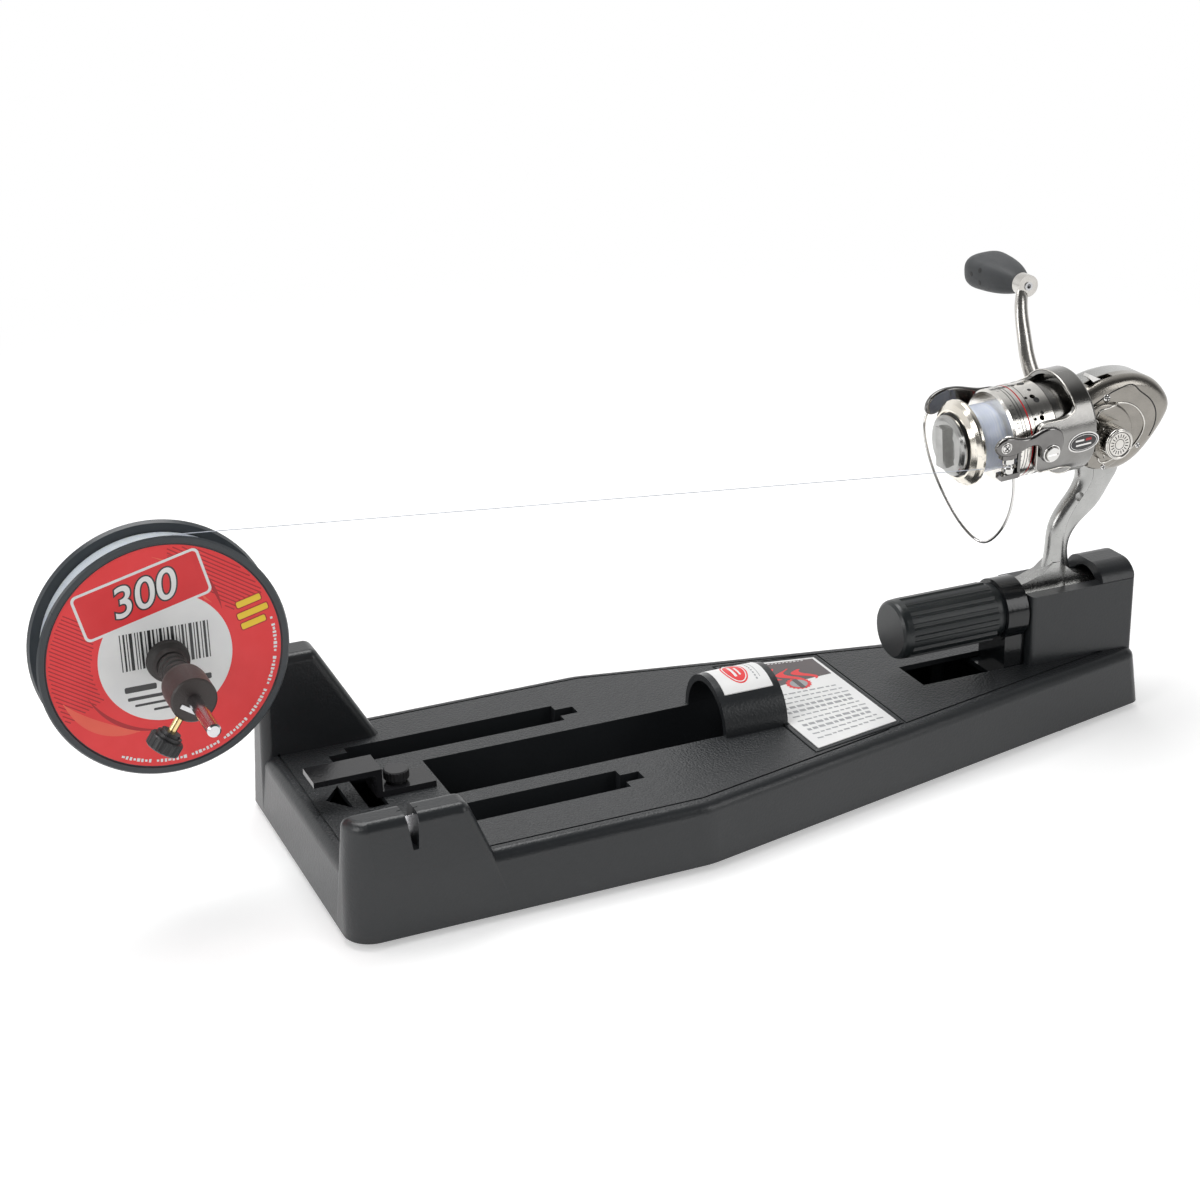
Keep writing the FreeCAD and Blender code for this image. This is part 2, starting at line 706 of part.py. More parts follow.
def make_base_shell():
    """Tray with two posts, the tool channel, the side slots, the arch and the reel block."""
    tray = prism("tray", "XY", base_outline(0), rim, plate, draft=-side_draft)
    left_corner = left.number + 10
    right_corner = right.number - 10
    tray = rounded("tray_left", tray, corner_round,
                   lambda edge: upright(edge) and middle(edge).x < left_corner)
    tray = rounded("tray_right", tray, tip_round,
                   lambda edge: upright(edge) and middle(edge).x > right_corner)
    kink_x = kink.number
    tray = rounded("tray_kink", tray, kink_round,
                   lambda edge: upright(edge) and abs(middle(edge).x - kink_x) < 3)
    top_z = plate.number - 0.01
    tray = rounded("tray_soft", tray, edge_round, lambda edge: middle(edge).z > top_z)
    far_post, near_post = [soft_post(post) for post in make_posts(as_size(0), "outside")]
    block = box("block", (left + block_start, -block_half, plate - wall),
                (block_end, block_half, plate + block_height))
    hood = box("hood", (block_end - hood_length, -block_half, plate),
               (block_end, block_half, plate + hood_height))
    hood_top = (plate + hood_height).number - 0.1
    hood = rounded("hood_soft", hood, hood_round,
                   lambda edge: direction(edge)[0] > 0.9 and middle(edge).z > hood_top)
    saddle = fuse("saddle", block, hood)
    above = (plate + 1).number
    saddle = rounded("saddle_soft", saddle, block_round,
                     lambda edge: upright(edge) and middle(edge).z > above and edge.Length > 20)
    arch = rod("arch_outside", channel_half + arch_wall, arch_length, left + arch_start, 0, plate)
    outside = fuse("shell_outside", tray, far_post, near_post, saddle, arch)

    hollow = prism("tray_hollow", "XY", base_outline(wall), rim - 1, plate - wall, draft=-side_draft)
    hollow = rounded("tray_hollow_left", hollow, corner_round - wall,
                     lambda edge: upright(edge) and middle(edge).x < left_corner)
    far_hollow, near_hollow = make_posts(wall, "hollow")
    rib = box("cutter_rib_block", (cutter_left - cutter_rib, -base_half, plate - wall),
              (cutter_right + cutter_rib, -near_post_foot_in, plate + near_post_top))
    near_hollow = cut("near_post_hollow_ribbed", near_hollow, rib)
    socket = rod("socket_boss", bush_radius + wall, far_post_top + wall, post_hole_x, post_hole_y,
                 plate - wall,
                 ALONG_Z)
    far_hollow = cut("far_post_hollow_socket", far_hollow, socket)
    wells = [box("channel_well", (left + channel_start - wall, -channel_half - wall,
                                  plate - channel_depth - wall),
                 (left + channel_end + wall, channel_half + wall, plate))]
    for side, name in ((-1, "near"), (1, "far")):
        middle_y = slot_off * side
        wells.append(box(f"{name}_slot_well",
                         (left + slot_start - notch_length - wall, middle_y - slot_half - wall,
                          plate - slot_depth - wall),
                         (left + slot_start + slot_length + notch_length + wall, middle_y + slot_half + wall,
                          plate)))
    wells += [rod(f"boss_{number}", boss_radius, shell_height, x, y, rim + plate_seat, ALONG_Z)
              for number, (x, y) in enumerate(screw_spots)]
    hollow = cut("tray_hollow_ribbed", hollow, *wells)

    openings = [hollow, far_hollow, near_hollow]
    openings.append(box("channel", (left + channel_start, -channel_half, plate - channel_depth),
                        (left + channel_end, channel_half, plate + 1)))
    openings.append(rod("arch_inside", channel_half, arch_length + 2, left + arch_start - 1, 0, plate))
    for side, name in ((-1, "near"), (1, "far")):
        middle_y = slot_off * side
        openings.append(box(f"{name}_slot", (left + slot_start, middle_y - slot_half, plate - slot_depth),
                            (left + slot_start + slot_length, middle_y + slot_half, plate + 1)))
        openings.append(box(f"{name}_notch",
                            (left + slot_start - notch_length, middle_y - notch_half, plate - slot_depth),
                            (left + slot_start + slot_length + notch_length, middle_y + notch_half,
                             plate + 1)))
    openings.append(box("clip_recess", (left + recess_start, -recess_half, plate - wall - 1),
                        (left + recess_start + recess_length, recess_half, plate + 1)))
    openings.append(prism("vee", "XY", [(left + vee_tip, 0), (left + vee_tip + vee_length, -vee_half),
                                        (left + vee_tip + vee_length, vee_half)], plate - wall - 1,
                                        plate + 1))
    openings.append(box("window", (left + window_start, -window_half, rim - 1),
                        (left + block_start, window_half, plate + 1)))
    openings.append(border_groove())
    openings.append(label_groove())
    openings.extend(trough_cuts())
    openings.append(cutter_notch())
    openings.append(box("blade_slit", (cutter_left - blade_overlap, blade_y - blade_thickness / 2, blade_low),
                        (cutter_right + blade_overlap, blade_y + blade_thickness / 2,
                         plate + near_post_top + 1)))
    openings.append(rod("bush_hole", bush_radius, bush_length, post_hole_x, post_hole_y,
                        plate + far_post_top - bush_length + bush_proud, ALONG_Z))
    openings.append(rod("axle_hole", axle_radius + fit, bush_length + 12, post_hole_x, post_hole_y,
                        plate + far_post_top - bush_length - 10, ALONG_Z))
    openings.append(rod("clip_nut_hole", clip_nut_radius, clip_nut_length, clip_screw_x, 0,
                        plate - clip_nut_length,
                        ALONG_Z))
    openings.extend(screw_holes())
    finish(cut("base_shell_solid", outside, *openings), "base_shell")


def border_groove():
    """A shallow line that follows the plate's edge."""
    outer = prism("border_outer", "XY", base_outline(top_inset + border_inset), plate - border_depth,
                  plate + 1)
    inner = prism("border_inner", "XY", base_outline(top_inset + border_inset + border_width),
                  plate - border_depth, plate + 1)
    return cut("border", outer, inner)

def label_outline(grow):
    return [(left + label_start - grow, -label_wide - grow), (left + label_start + label_length + grow,
             -label_narrow - grow), (left + label_start + label_length + grow, label_narrow + grow),
            (left + label_start - grow, label_wide + grow)]


def label_groove():
    """A shallow line around the label."""
    outer = prism("label_border_outer", "XY", label_outline(label_margin), plate - border_depth, plate + 1)
    inner = prism("label_border_inner", "XY", label_outline(label_margin - border_width),
                  plate - border_depth,
                  plate + 1)
    return cut("label_border", outer, inner)

def trough_cuts():
    """The hollow for the reel's foot, its mouth under the fixed hood and the bolt's hole and pocket."""
    hood_front = block_end - hood_length
    open_part = rod("trough_open", trough_radius, block_length - hood_length + 1, left + block_start - 1, 0,
                    trough_z)
    deep = rod("trough_deep", trough_radius, hood_length - hood_back + 1, hood_front - 1, 0, trough_z)
    roof = rod("trough_roof", trough_radius, hood_length - hood_back + 1, hood_front - 1, 0,
               plate + hood_height - hood_wall - trough_radius)
    bolt = rod("bolt_hole", bolt_radius, block_length - hood_back, left + block_start, 0, bolt_z)
    head = box("bolt_head_pocket", (block_end - hood_back - bolt_head_length, -bolt_head_radius, rim),
               (block_end - hood_back, bolt_head_radius, bolt_z + bolt_head_radius))
    return [open_part, common("trough_under_hood", deep, roof), bolt, head]


def cutter_notch():
    """The narrowing notch that guides the line onto the blade."""
    high = plate + near_post_top
    outline = [(cutter_left, high + 1), (cutter_left + cutter_lean_left, high - cutter_depth),
               (cutter_right - cutter_lean_right, high - cutter_depth), (cutter_right, high + 1)]
    return prism("cutter_notch", "XZ", outline, -base_half - 1, -near_post_foot_in)


def screw_holes():
    """Threaded bosses stand under the plate; these are their holes."""
    return [rod(f"screw_hole_{number}", screw_radius, screw_length - plate_seat, x, y, rim + plate_seat,
                ALONG_Z)
            for number, (x, y) in enumerate(screw_spots)]


# ---------------------------------------------------------------- pieces fixed to the base

def make_bottom_plate():
    """Flat plate that closes the tray from below and carries the feet."""
    outline = base_outline(wall + gap)
    slab = prism("bottom_slab", "XY", outline, rim, rim + plate_seat)
    left_corner = left.number + 10
    slab = rounded("bottom_slab_left", slab, corner_round - wall - gap,
                   lambda edge: upright(edge) and middle(edge).x < left_corner)
    holes = [rod(f"bottom_hole_{number}", screw_radius + 0.2, plate_seat + 2, x, y, rim - 1, ALONG_Z)
             for number, (x, y) in enumerate(screw_spots)]
    sinks = [rod(f"bottom_sink_{number}", screw_head_radius + 0.2, sink_depth, x, y, rim, ALONG_Z)
             for number, (x, y) in enumerate(screw_spots)]
    sockets = [rod(f"foot_socket_{number}", foot_stem_radius, plate_seat + 2, x, y, rim - 1, ALONG_Z)
               for number, (x, y) in enumerate(foot_spots)]
    finish(cut("bottom_plate_solid", slab, *holes, *sinks, *sockets), "bottom_plate")


def gather(name, parts):
    """Several separate solids kept together as one group."""
    group = doc.addObject("Part::Compound", name)
    group.Links = parts
    return group


def make_feet():
    """Rubber feet, each with a stem pushed into the bottom plate."""
    feet = []
    for number, (x, y) in enumerate(foot_spots):
        profile = [(0, 0), (0, foot_radius - 1.2), (1.2, foot_radius), (foot_height, foot_radius),
                   (foot_height, foot_stem_radius), (foot_height + plate_seat, foot_stem_radius),
                   (foot_height + plate_seat, 0)]
        feet.append(turned(f"foot_{number}", profile, x, y, 0, ALONG_Z))
    finish(gather("feet", feet), "rubber_feet")


def make_bottom_screws():
    """Six countersunk screws that hold the bottom plate."""
    screws = []
    for number, (x, y) in enumerate(screw_spots):
        profile = [(0, 0), (0, screw_head_radius), (sink_depth, screw_head_radius),
                   (sink_depth, screw_radius),
                   (screw_length, screw_radius), (screw_length, 0)]
        screw = turned(f"bottom_screw_{number}", profile, x, y, rim, ALONG_Z)
        flute(screw, f"bottom_screw_cross_{number}", [(-0.4, -2), (0.4, -2), (0.4, 2), (-0.4, 2)], 0.8, 2)
        screws.append(screw)
    finish(gather("bottom_screw_group", screws), "bottom_screws")


def make_cutter_blade():
    """Thin saw-edged blade that stands across the notch."""
    low, high = blade_low, blade_low + blade_height
    start, end = cutter_left - blade_overlap, cutter_right + blade_overlap
    teeth = 9
    step = (end - start) / teeth
    outline = [(end, low), (end, high)]
    for number in range(teeth):
        outline.append((end - step * (number + 0.5), high - blade_tooth))
        outline.append((end - step * (number + 1), high))
    outline.append((start, low))
    finish(prism("cutter_blade_solid", "XZ", outline, blade_y - blade_thickness / 2,
                 blade_y + blade_thickness / 2), "line_cutter_blade")


def make_axle_bush():
    """Brass bush that lines the axle's socket in the tall post."""
    profile = [(0, axle_radius + fit), (0, bush_radius), (bush_length, bush_radius),
               (bush_length, axle_radius + fit)]
    finish(turned("axle_bush_solid", profile, post_hole_x, post_hole_y,
                  plate + far_post_top - bush_length + bush_proud, ALONG_Z), "axle_bush")


def make_clip():
    """Step-shaped strap that holds the hand tool down, with its thumbscrew and insert."""
    web = left + clip_web
    low = plate + gap / 3
    half = clip_width / 2
    outline = [(web, low), (web + clip_lower, low), (web + clip_lower, low + clip_thickness),
               (web + clip_thickness, low + clip_thickness), (web + clip_thickness, low + clip_step),
               (web + clip_thickness - clip_upper, low + clip_step),
               (web + clip_thickness - clip_upper, low + clip_step - clip_thickness),
               (web, low + clip_step - clip_thickness)]
    strap = prism("clip_strap", "XZ", outline, -half, half)
    hole = rod("clip_hole", clip_screw_radius + fit, clip_thickness + 2, clip_screw_x, 0, low - 1, ALONG_Z)
    finish(cut("clip_solid", strap, hole), "retaining_clip")

    seat = low + clip_thickness
    shank = clip_nut_length + clip_thickness
    profile = [(0, 0), (0, clip_screw_radius), (shank, clip_screw_radius), (shank, clip_knob_radius - 2),
               (shank + 1.2, clip_knob_radius - 2), (shank + 1.2, clip_knob_radius - 0.8),
               (shank + 2.2, clip_knob_radius), (shank + clip_knob_height + 1, clip_knob_radius),
               (shank + clip_knob_height + 1.8, clip_knob_radius - 0.8), (shank + clip_knob_height + 1.8, 0)]
    screw = turned("clip_screw_solid", profile, clip_screw_x, 0, seat - shank + 0.05, ALONG_Z)
    flute(screw, "clip_screw_grip", (0, clip_knob_radius + 0.45, 0.8), clip_knob_height + 3, 24, shank + 1.8)
    finish(screw, "clip_thumbscrew")

    profile = [(0, clip_screw_radius + fit), (0, clip_nut_radius), (clip_nut_length, clip_nut_radius),
               (clip_nut_length, clip_screw_radius + fit)]
    finish(turned("clip_nut_solid", profile, clip_screw_x, 0, plate - clip_nut_length, ALONG_Z),
           "clip_insert")


def make_labels():
    """The sticker on the plate and the one bent over the arch."""
    finish(prism("base_label_solid", "XY", label_outline(0), plate, plate + label_thickness), "base_label")
    outer = rod("arch_label_outer", channel_half + arch_wall + label_thickness, arch_length - 8,
                left + arch_start + 4, 0, plate)
    inner = rod("arch_label_inner", channel_half + arch_wall, arch_length, left + arch_start, 0, plate)
    reach = channel_half + arch_wall + 2
    window = box("arch_label_window", (left + arch_start, -arch_label_half, plate + 8),
                 (left + arch_start + arch_length, arch_label_half, plate + reach))
    finish(common("arch_label_solid", cut("arch_label_shell", outer, inner), window), "arch_label")


# ---------------------------------------------------------------- reel clamp

def make_clamp_bolt():
    """Hexagon bolt held in the block; the knob's thread runs on it."""
    end = block_end - hood_back
    shank = rod("clamp_bolt_shank", bolt_radius, bolt_length + 1, bolt_tip, 0, bolt_z)
    corner = bolt_head_radius / cosine(as_size(30))
    turns = [as_size(60 * side + 30) for side in range(6)]
    hexagon = [(corner * cosine(turn), bolt_z + corner * sine(turn)) for turn in turns]
    head = prism("clamp_bolt_head", "YZ", hexagon, end - bolt_head_length, end)
    finish(fuse("clamp_bolt_solid", shank, head), "clamp_bolt")


def make_clamp_knob():
    """Long ribbed grip that pushes the jaw along the bolt."""
    start = left + jaw_start - 0.1 - clamp_knob_length
    hollow = bolt_tip - start - bolt_end_gap
    full = clamp_knob_radius
    profile = [(0, 0), (0, full - 2.2), (1.2, full - 0.8), (2.6, full - 0.3), (6, full),
               (clamp_knob_length - 5, full),
               (clamp_knob_length - 5, full - 1.6), (clamp_knob_length, full - 1.6),
               (clamp_knob_length, bolt_radius + fit), (hollow, bolt_radius + fit), (hollow, 0)]
    knob = turned("clamp_knob_solid", profile, start, 0, bolt_z)
    flute(knob, "clamp_knob_rib", (0, full + 1.1, 2.2), clamp_knob_length - 11, 16, 6)
    finish(knob, "clamp_knob")


def make_clamp_jaw():
    """Hood with a shank in the plate's opening and a shoe that runs under the plate."""
    start = left + jaw_start
    end = start + jaw_length
    hood = rod("jaw_hood", jaw_radius, jaw_length, start, 0, bolt_z)
    shank = box("jaw_shank", (start + 1, -shank_half, plate - wall - gap - shoe_thickness),
                (end, shank_half, bolt_z))
    shoe = box("jaw_shoe", (start + 1 - shoe_overlap, -shoe_half, plate - wall - gap - shoe_thickness),
               (end + shoe_overlap, shoe_half, plate - wall - gap))
    pocket = rod("jaw_pocket_round", trough_radius, jaw_length, start + jaw_wall, 0, trough_z)
    limit = rod("jaw_pocket_roof", trough_radius, jaw_length, start + jaw_wall, 0,
                plate + hood_height - hood_wall - trough_radius)
    bore = rod("jaw_bore", bolt_radius + fit, jaw_length + 4, start - 2, 0, bolt_z)
    solid = fuse("jaw_outside", hood, shank, shoe)
    finish(cut("clamp_jaw_solid", solid, common("jaw_pocket", pocket, limit), bore), "clamp_jaw")


# ---------------------------------------------------------------- axle and supply spool

def arc_path(points, radius):
    """Straight runs through the points, joined by arcs of one radius."""
    edges = []
    start = points[0]
    for before, corner, after in zip(points, points[1:], points[2:]):
        inward = (before - corner).normalize()
        outward = (after - corner).normalize()
        half = inward.getAngle(outward) / 2
        back = radius / math.tan(half)
        first = corner + inward * back
        last = corner + outward * back
        bisector = (inward + outward).normalize()
        centre = corner + bisector * (radius / math.sin(half))
        halfway = centre - bisector * radius
        edges.append(Part.LineSegment(start, first).toShape())
        edges.append(Part.Arc(first, halfway, last).toShape())
        start = last
    edges.append(Part.LineSegment(start, points[-1]).toShape())
    return Part.Wire(edges)


def tube_along(path, radius):
    """A round bar swept along a path."""
    first = path.Edges[0]
    start = first.valueAt(first.FirstParameter)
    tangent_at_start = first.tangentAt(first.FirstParameter)
    section = Part.Wire(Part.Circle(start, tangent_at_start, radius).toShape())
    return path.makePipeShell([section], True, False)


def feature(name, shape):
    """A sub-part whose shape Part's own functions make."""
    item = doc.addObject("Part::Feature", name)
    item.Shape = shape
    return item


def vector(x, y, z):
    return FreeCAD.Vector(as_size(x).number, as_size(y).number, as_size(z).number)


def make_axle():
    """Steel rod: the spool's axle, a run along the base's end and a leg down into the post."""
    foot = plate + far_post_top + bush_proud - bush_length
    points = [vector(axle_x, -axle_near_end, axle_z), vector(axle_x, post_hole_y, axle_z),
              vector(post_hole_x, post_hole_y, axle_z), vector(post_hole_x, post_hole_y, foot)]
    bar = tube_along(arc_path(points, axle_bend.number), axle_radius.number)
    near = [edge for edge in bar.Edges if abs(middle(edge).y + axle_near_end.number) < 0.01]
    bar = bar.makeChamfer(0.8, near)
    finish(feature("axle_rod_solid", bar), "axle_rod")


def make_supply_spool():
    """Two moulded flanges and a core, the wound line and a paper label on each side."""
    half = spool_width / 2
    bore = axle_radius + spool_bore_fit
    seat = half - lip_rise
    for side, turn, name in ((-1, ALONG_MINUS_Y, "near"), (1, ALONG_Y, "far")):
        profile = [(seat - flange_thickness, core_radius - core_wall - 0.1),
                   (seat - flange_thickness, flange_radius - 1), (half - 1, flange_radius),
                   (half, flange_radius - 0.8), (half, flange_radius - flange_lip + 0.5),
                   (seat, flange_radius - flange_lip), (seat, hub_radius + 0.1),
                   (seat - flange_thickness, hub_radius + 0.1)]
        finish(turned(f"{name}_flange_solid", profile, axle_x, 0, axle_z, turn), f"{name}_flange")
        label = [(seat, label_bore), (seat, flange_radius - flange_lip - 0.4),
                 (seat + paper, flange_radius - flange_lip - 0.4), (seat + paper, label_bore)]
        finish(turned(f"{name}_label_solid", label, axle_x, 0, axle_z, turn), f"{name}_spool_label")
    inside = seat - flange_thickness
    rim_profile = [(-inside, core_radius - core_wall), (-inside, core_radius), (inside, core_radius),
                   (inside, core_radius - core_wall), (1, core_radius - core_wall), (1, hub_radius),
                   (seat, hub_radius), (seat, bore), (-seat, bore), (-seat, hub_radius), (-1, hub_radius),
                   (-1, core_radius - core_wall)]
    finish(turned("spool_core_solid", rim_profile, axle_x, 0, axle_z, ALONG_Y), "spool_core")
    wound = [(-inside, core_radius), (-inside, wound_radius - 0.8), (0.8 - inside, wound_radius),
             (inside - 0.8, wound_radius), (inside, wound_radius - 0.8), (inside, core_radius)]
    finish(turned("wound_line_solid", wound, axle_x, 0, axle_z, ALONG_Y), "wound_supply_line")


def make_tensioner():
    """Cones, cup, spring sleeve and collar that press on the spool's near side."""
    face = spool_width / 2 - lip_rise + paper + 0.05
    bore = axle_radius + fit
    y = -face
    cone = [(0, bore), (0, cone_radius), (1, cone_radius), (cone_length, bore + 1.4), (cone_length, bore)]
    finish(turned("near_cone_solid", cone, axle_x, y, axle_z, ALONG_MINUS_Y), "near_centring_cone")
    cup_start = y - cone_length
    cup = [(0, bore), (0, cup_radius - 3), (-2.4, cup_radius - 0.6), (-2, cup_radius),
           (0.8, cup_radius - 0.4),
           (2.4, sleeve_radius + 1), (cup_length, sleeve_radius), (cup_length, bore)]
    cup_piece = turned("cup_solid", cup, axle_x, cup_start - 0.05, axle_z, ALONG_MINUS_Y)
    finish(cup_piece, "friction_cup")
    sleeve_start = cup_start - cup_length - 0.1
    rib = sleeve_length / sleeve_ribs
    profile = [(0, bore)]
    for number in range(int(sleeve_ribs.number)):
        lead = rib * number
        profile += [(lead, sleeve_radius - 1.6), (lead + rib * 0.25, sleeve_radius - 0.3),
                    (lead + rib * 0.5, sleeve_radius), (lead + rib * 0.75, sleeve_radius - 0.3)]
    profile += [(sleeve_length, sleeve_radius - 1.6), (sleeve_length, bore)]
    finish(turned("sleeve_solid", profile, axle_x, sleeve_start, axle_z, ALONG_MINUS_Y), "spring_sleeve")

    collar_start = sleeve_start - sleeve_length - 0.1
    profile = [(0, bore), (0, sleeve_radius + 0.5), (2.5, collar_radius - 0.4), (5, collar_radius),
               (collar_length - 0.8, collar_radius), (collar_length, collar_radius - 0.8),
               (collar_length, bore)]
    barrel = turned("collar_barrel", profile, axle_x, collar_start, axle_z, ALONG_MINUS_Y)
    screw_y = collar_start - collar_length + 5
    lean = ((0, 1, 0), 90 + screw_lean)
    tool = [rod("collar_screw_hole", collar_screw_radius + fit, collar_radius + 4, axle_x, screw_y, axle_z,
                lean)]
    nut_frame = add_frame("CollarFrame", axle_x, screw_y, axle_z, lean)
    low, high = axle_radius + 0.6, axle_radius + 0.6 + nut_thickness
    tool.append(box("collar_nut_slot", (low - fit, -6, -nut_half - fit),
                    (high + fit, nut_half + fit, nut_half + fit), nut_frame))
    finish(cut("collar_solid", barrel, *tool), "locking_collar")

    nut = box("nut_plate", (low, -5.4, -nut_half), (high, nut_half, nut_half), nut_frame)
    hole = rod("nut_hole", collar_screw_radius + fit, 8, -1, 0, 0, frame=nut_frame)
    finish(cut("collar_nut_solid", nut, hole), "collar_nut")
    tip = axle_radius + fit
    shank = [(tip, 0), (tip, collar_screw_radius), (tip + collar_screw_length, collar_screw_radius),
             (tip + collar_screw_length, 0)]
    finish(turned("collar_screw_solid", shank, frame=nut_frame), "locking_screw")
    start = tip + collar_screw_length - 6
    knob = [(start, collar_screw_radius), (start, 4.6), (start + 1.6, 4.8),
            (start + 1.6, collar_knob_radius - 2),
            (start + 3.4, collar_knob_radius - 2), (start + 3.4, collar_knob_radius - 0.6),
            (start + 4.2, collar_knob_radius), (start + 9, collar_knob_radius),
            (start + 9.8, collar_knob_radius - 1),
            (start + 9.8, 0), (start + 6, 0), (start + 6, collar_screw_radius)]
    grip = turned("collar_knob_solid", knob, frame=nut_frame)
    flute(grip, "collar_knob_grip", (0, collar_knob_radius + 0.5, 0.9), 8, 20, start + 3.4)
    finish(grip, "locking_screw_knob")

    stop_start = face
    cone = [(0, bore), (0, cone_radius), (1, cone_radius), (cone_length, bore + 1.4), (cone_length, bore)]
    finish(turned("far_cone_solid", cone, axle_x, stop_start, axle_z, ALONG_Y), "far_centring_cone")
    stop = [(0, axle_radius), (0, stop_radius - 0.6), (0.6, stop_radius), (stop_length, stop_radius),
            (stop_length, axle_radius)]
    finish(turned("stop_collar_solid", stop, axle_x, stop_start + cone_length + 0.05, axle_z, ALONG_Y),
           "stop_collar")


# ---------------------------------------------------------------- reel: body

def rotor_point(u, v, w):
    return rotor.Placement.multVec(vector(u, v, w))


def smooth_outline(points):
    """A closed smooth curve through points (along, up) in the reel's centre plane."""
    curve = Part.BSplineCurve()
    curve.interpolate([vector(u, 0, w) for u, w in points], PeriodicFlag=True)
    return Part.Wire(curve.toShape())


# each point: distance behind the reference point and height over the reel's axis
body_outline = [(-7.5, 0), (-6.4, 8), (-2, 14), (5, 17.6), (14, 20), (26, 20.8), (37, 19.4), (46.5, 15),
                (54, 7), (57, -1.5), (53.5, -9.5), (46.5, -18), (37, -26.5), (25, -31.5), (14, -30.5),
                (7, -26.5), (1, -21), (-4.4, -14.2), (-6.8, -7)]
# each level of the stem: height over the plate, front, back of its round rod and back of its fin,
# all three measured from the spool end
stem_levels = [(111, 453.5, 464, 477), (101, 450.8, 461.5, 478), (94.6, 449.2, 459.9, 474.7),
               (88, 444.6, 455.3, 470.5), (79.8, 438.2, 449.2, 464), (71.6, 434.7, 445.6, 453.8),
               (64.8, 433.9, 444.6, 449), (54.8, 433, 445, 448), (46, 431.1, 448, 450),
               (37.4, 427.5, 451.5, 452.5)]
# corners of the ramps: place from the spool end and height over the plate
front_ramp = [(407.6, 37.4), (407.6, 42.3), (420, 44.8), (430, 48.2), (436, 53), (440, 53), (440, 37.4)]
rear_ramp = [(444, 37.4), (444, 50), (449, 45.6), (455, 42.6), (463, 40.6), (463, 37.4)]


def thick_face(wire, half, radius):
    """A flat outline made into a rounded slab about the reel's centre plane."""
    face = Part.Face(wire)
    face.translate(FreeCAD.Vector(0, -half, 0))
    slab = face.extrude(FreeCAD.Vector(0, 2 * half, 0))
    if radius <= 0:
        return slab
    flat = [edge for edge in slab.Edges if abs(abs(middle(edge).y) - half) < 0.01]
    return slab.makeFillet(radius, flat)


def inward(points, distance):
    """An outline drawn in towards its middle by a distance."""
    centre_u = sum(point[0] for point in points) / len(points)
    centre_w = sum(point[1] for point in points) / len(points)
    drawn = []
    for u, w in points:
        reach = math.hypot(u - centre_u, w - centre_w)
        share = (reach - distance) / reach
        drawn.append((centre_u + (u - centre_u) * share, centre_w + (w - centre_w) * share))
    return drawn


def bar_between(radius, start, end):
    """A round bar between two points."""
    span = end - start
    return Part.makeCylinder(radius, span.Length, start, span)


def block_between(low, high):
    return Part.makeBox(high[0] - low[0], high[1] - low[1], high[2] - low[2], FreeCAD.Vector(*low))


def in_reel(name, shape, label, frame=None):
    """A sub-part made in the reel's own frame."""
    item = feature(name, shape)
    item.setExpression("Placement", f"{(frame or reel).Name}.Placement")
    return finish(item, label)


def across(radius, v_start, v_end, u=None, w=None):
    """A bar across the reel, by default on the handle's axis."""
    u = handle_x.number if u is None else u
    w = handle_z.number if w is None else w
    return bar_between(radius, FreeCAD.Vector(u, v_start, w), FreeCAD.Vector(u, v_end, w))


def along(radius, u_start, u_end, v=0, w=0):
    return bar_between(radius, FreeCAD.Vector(u_start, v, w), FreeCAD.Vector(u_end, v, w))


def into_reel(shape):
    """Takes a shape from the row frame into the reel's own frame."""
    shape.Placement = reel.Placement.inverse().multiply(shape.Placement)
    return shape


def make_stem():
    """The bent stem, a round rod with a fin behind it, in the reel's frame."""
    base_x, plate_z = left.number, plate.number
    bars = []
    for half, end in ((stem_half.number, 2), (fin_half.number, 3)):
        rings = []
        for level in stem_levels:
            centre_x = (level[1] + level[end]) / 2
            ellipse = Part.Ellipse(FreeCAD.Vector(0, 0, 0), (level[end] - level[1]) / 2, half)
            ring = Part.Wire(ellipse.toShape())
            ring.translate(FreeCAD.Vector(base_x + centre_x, 0, plate_z + level[0]))
            rings.append(ring)
        bars.append(Part.makeLoft(rings, True, False))
    hole_start = FreeCAD.Vector(base_x + stem_hole_from_end.number, -20, plate_z + stem_hole_height.number)
    hole = Part.makeCylinder(foot_hole_radius.number, 40, hole_start, FreeCAD.Vector(0, 1, 0))
    return into_reel(bars[0].fuse(bars[1]).cut(hole))


def make_foot():
    """The reel's foot and the two ramps that rise from it to the stem, in the reel's frame."""
    base_x, plate_z = left.number, plate.number
    ramps = []
    for outline in (front_ramp, rear_ramp):
        corners = [FreeCAD.Vector(base_x + x, -ramp_half.number, plate_z + z)
                   for x, z in outline + outline[:1]]
        ramps.append(Part.Face(Part.makePolygon(corners)).extrude(FreeCAD.Vector(0, 2 * ramp_half.number, 0)))
    foot_start = base_x + foot_from.number
    foot_end = foot_start + foot_length.number
    foot = Part.makeCylinder(trough_radius.number - gap.number, foot_length.number,
                             FreeCAD.Vector(foot_start, 0, trough_z.number), FreeCAD.Vector(1, 0, 0))
    foot_top = plate_z + trough_floor.number + foot_thickness.number
    foot = foot.common(block_between((foot_start, -20, plate_z), (foot_end, 20, foot_top)))
    return [into_reel(shape) for shape in [foot] + ramps]


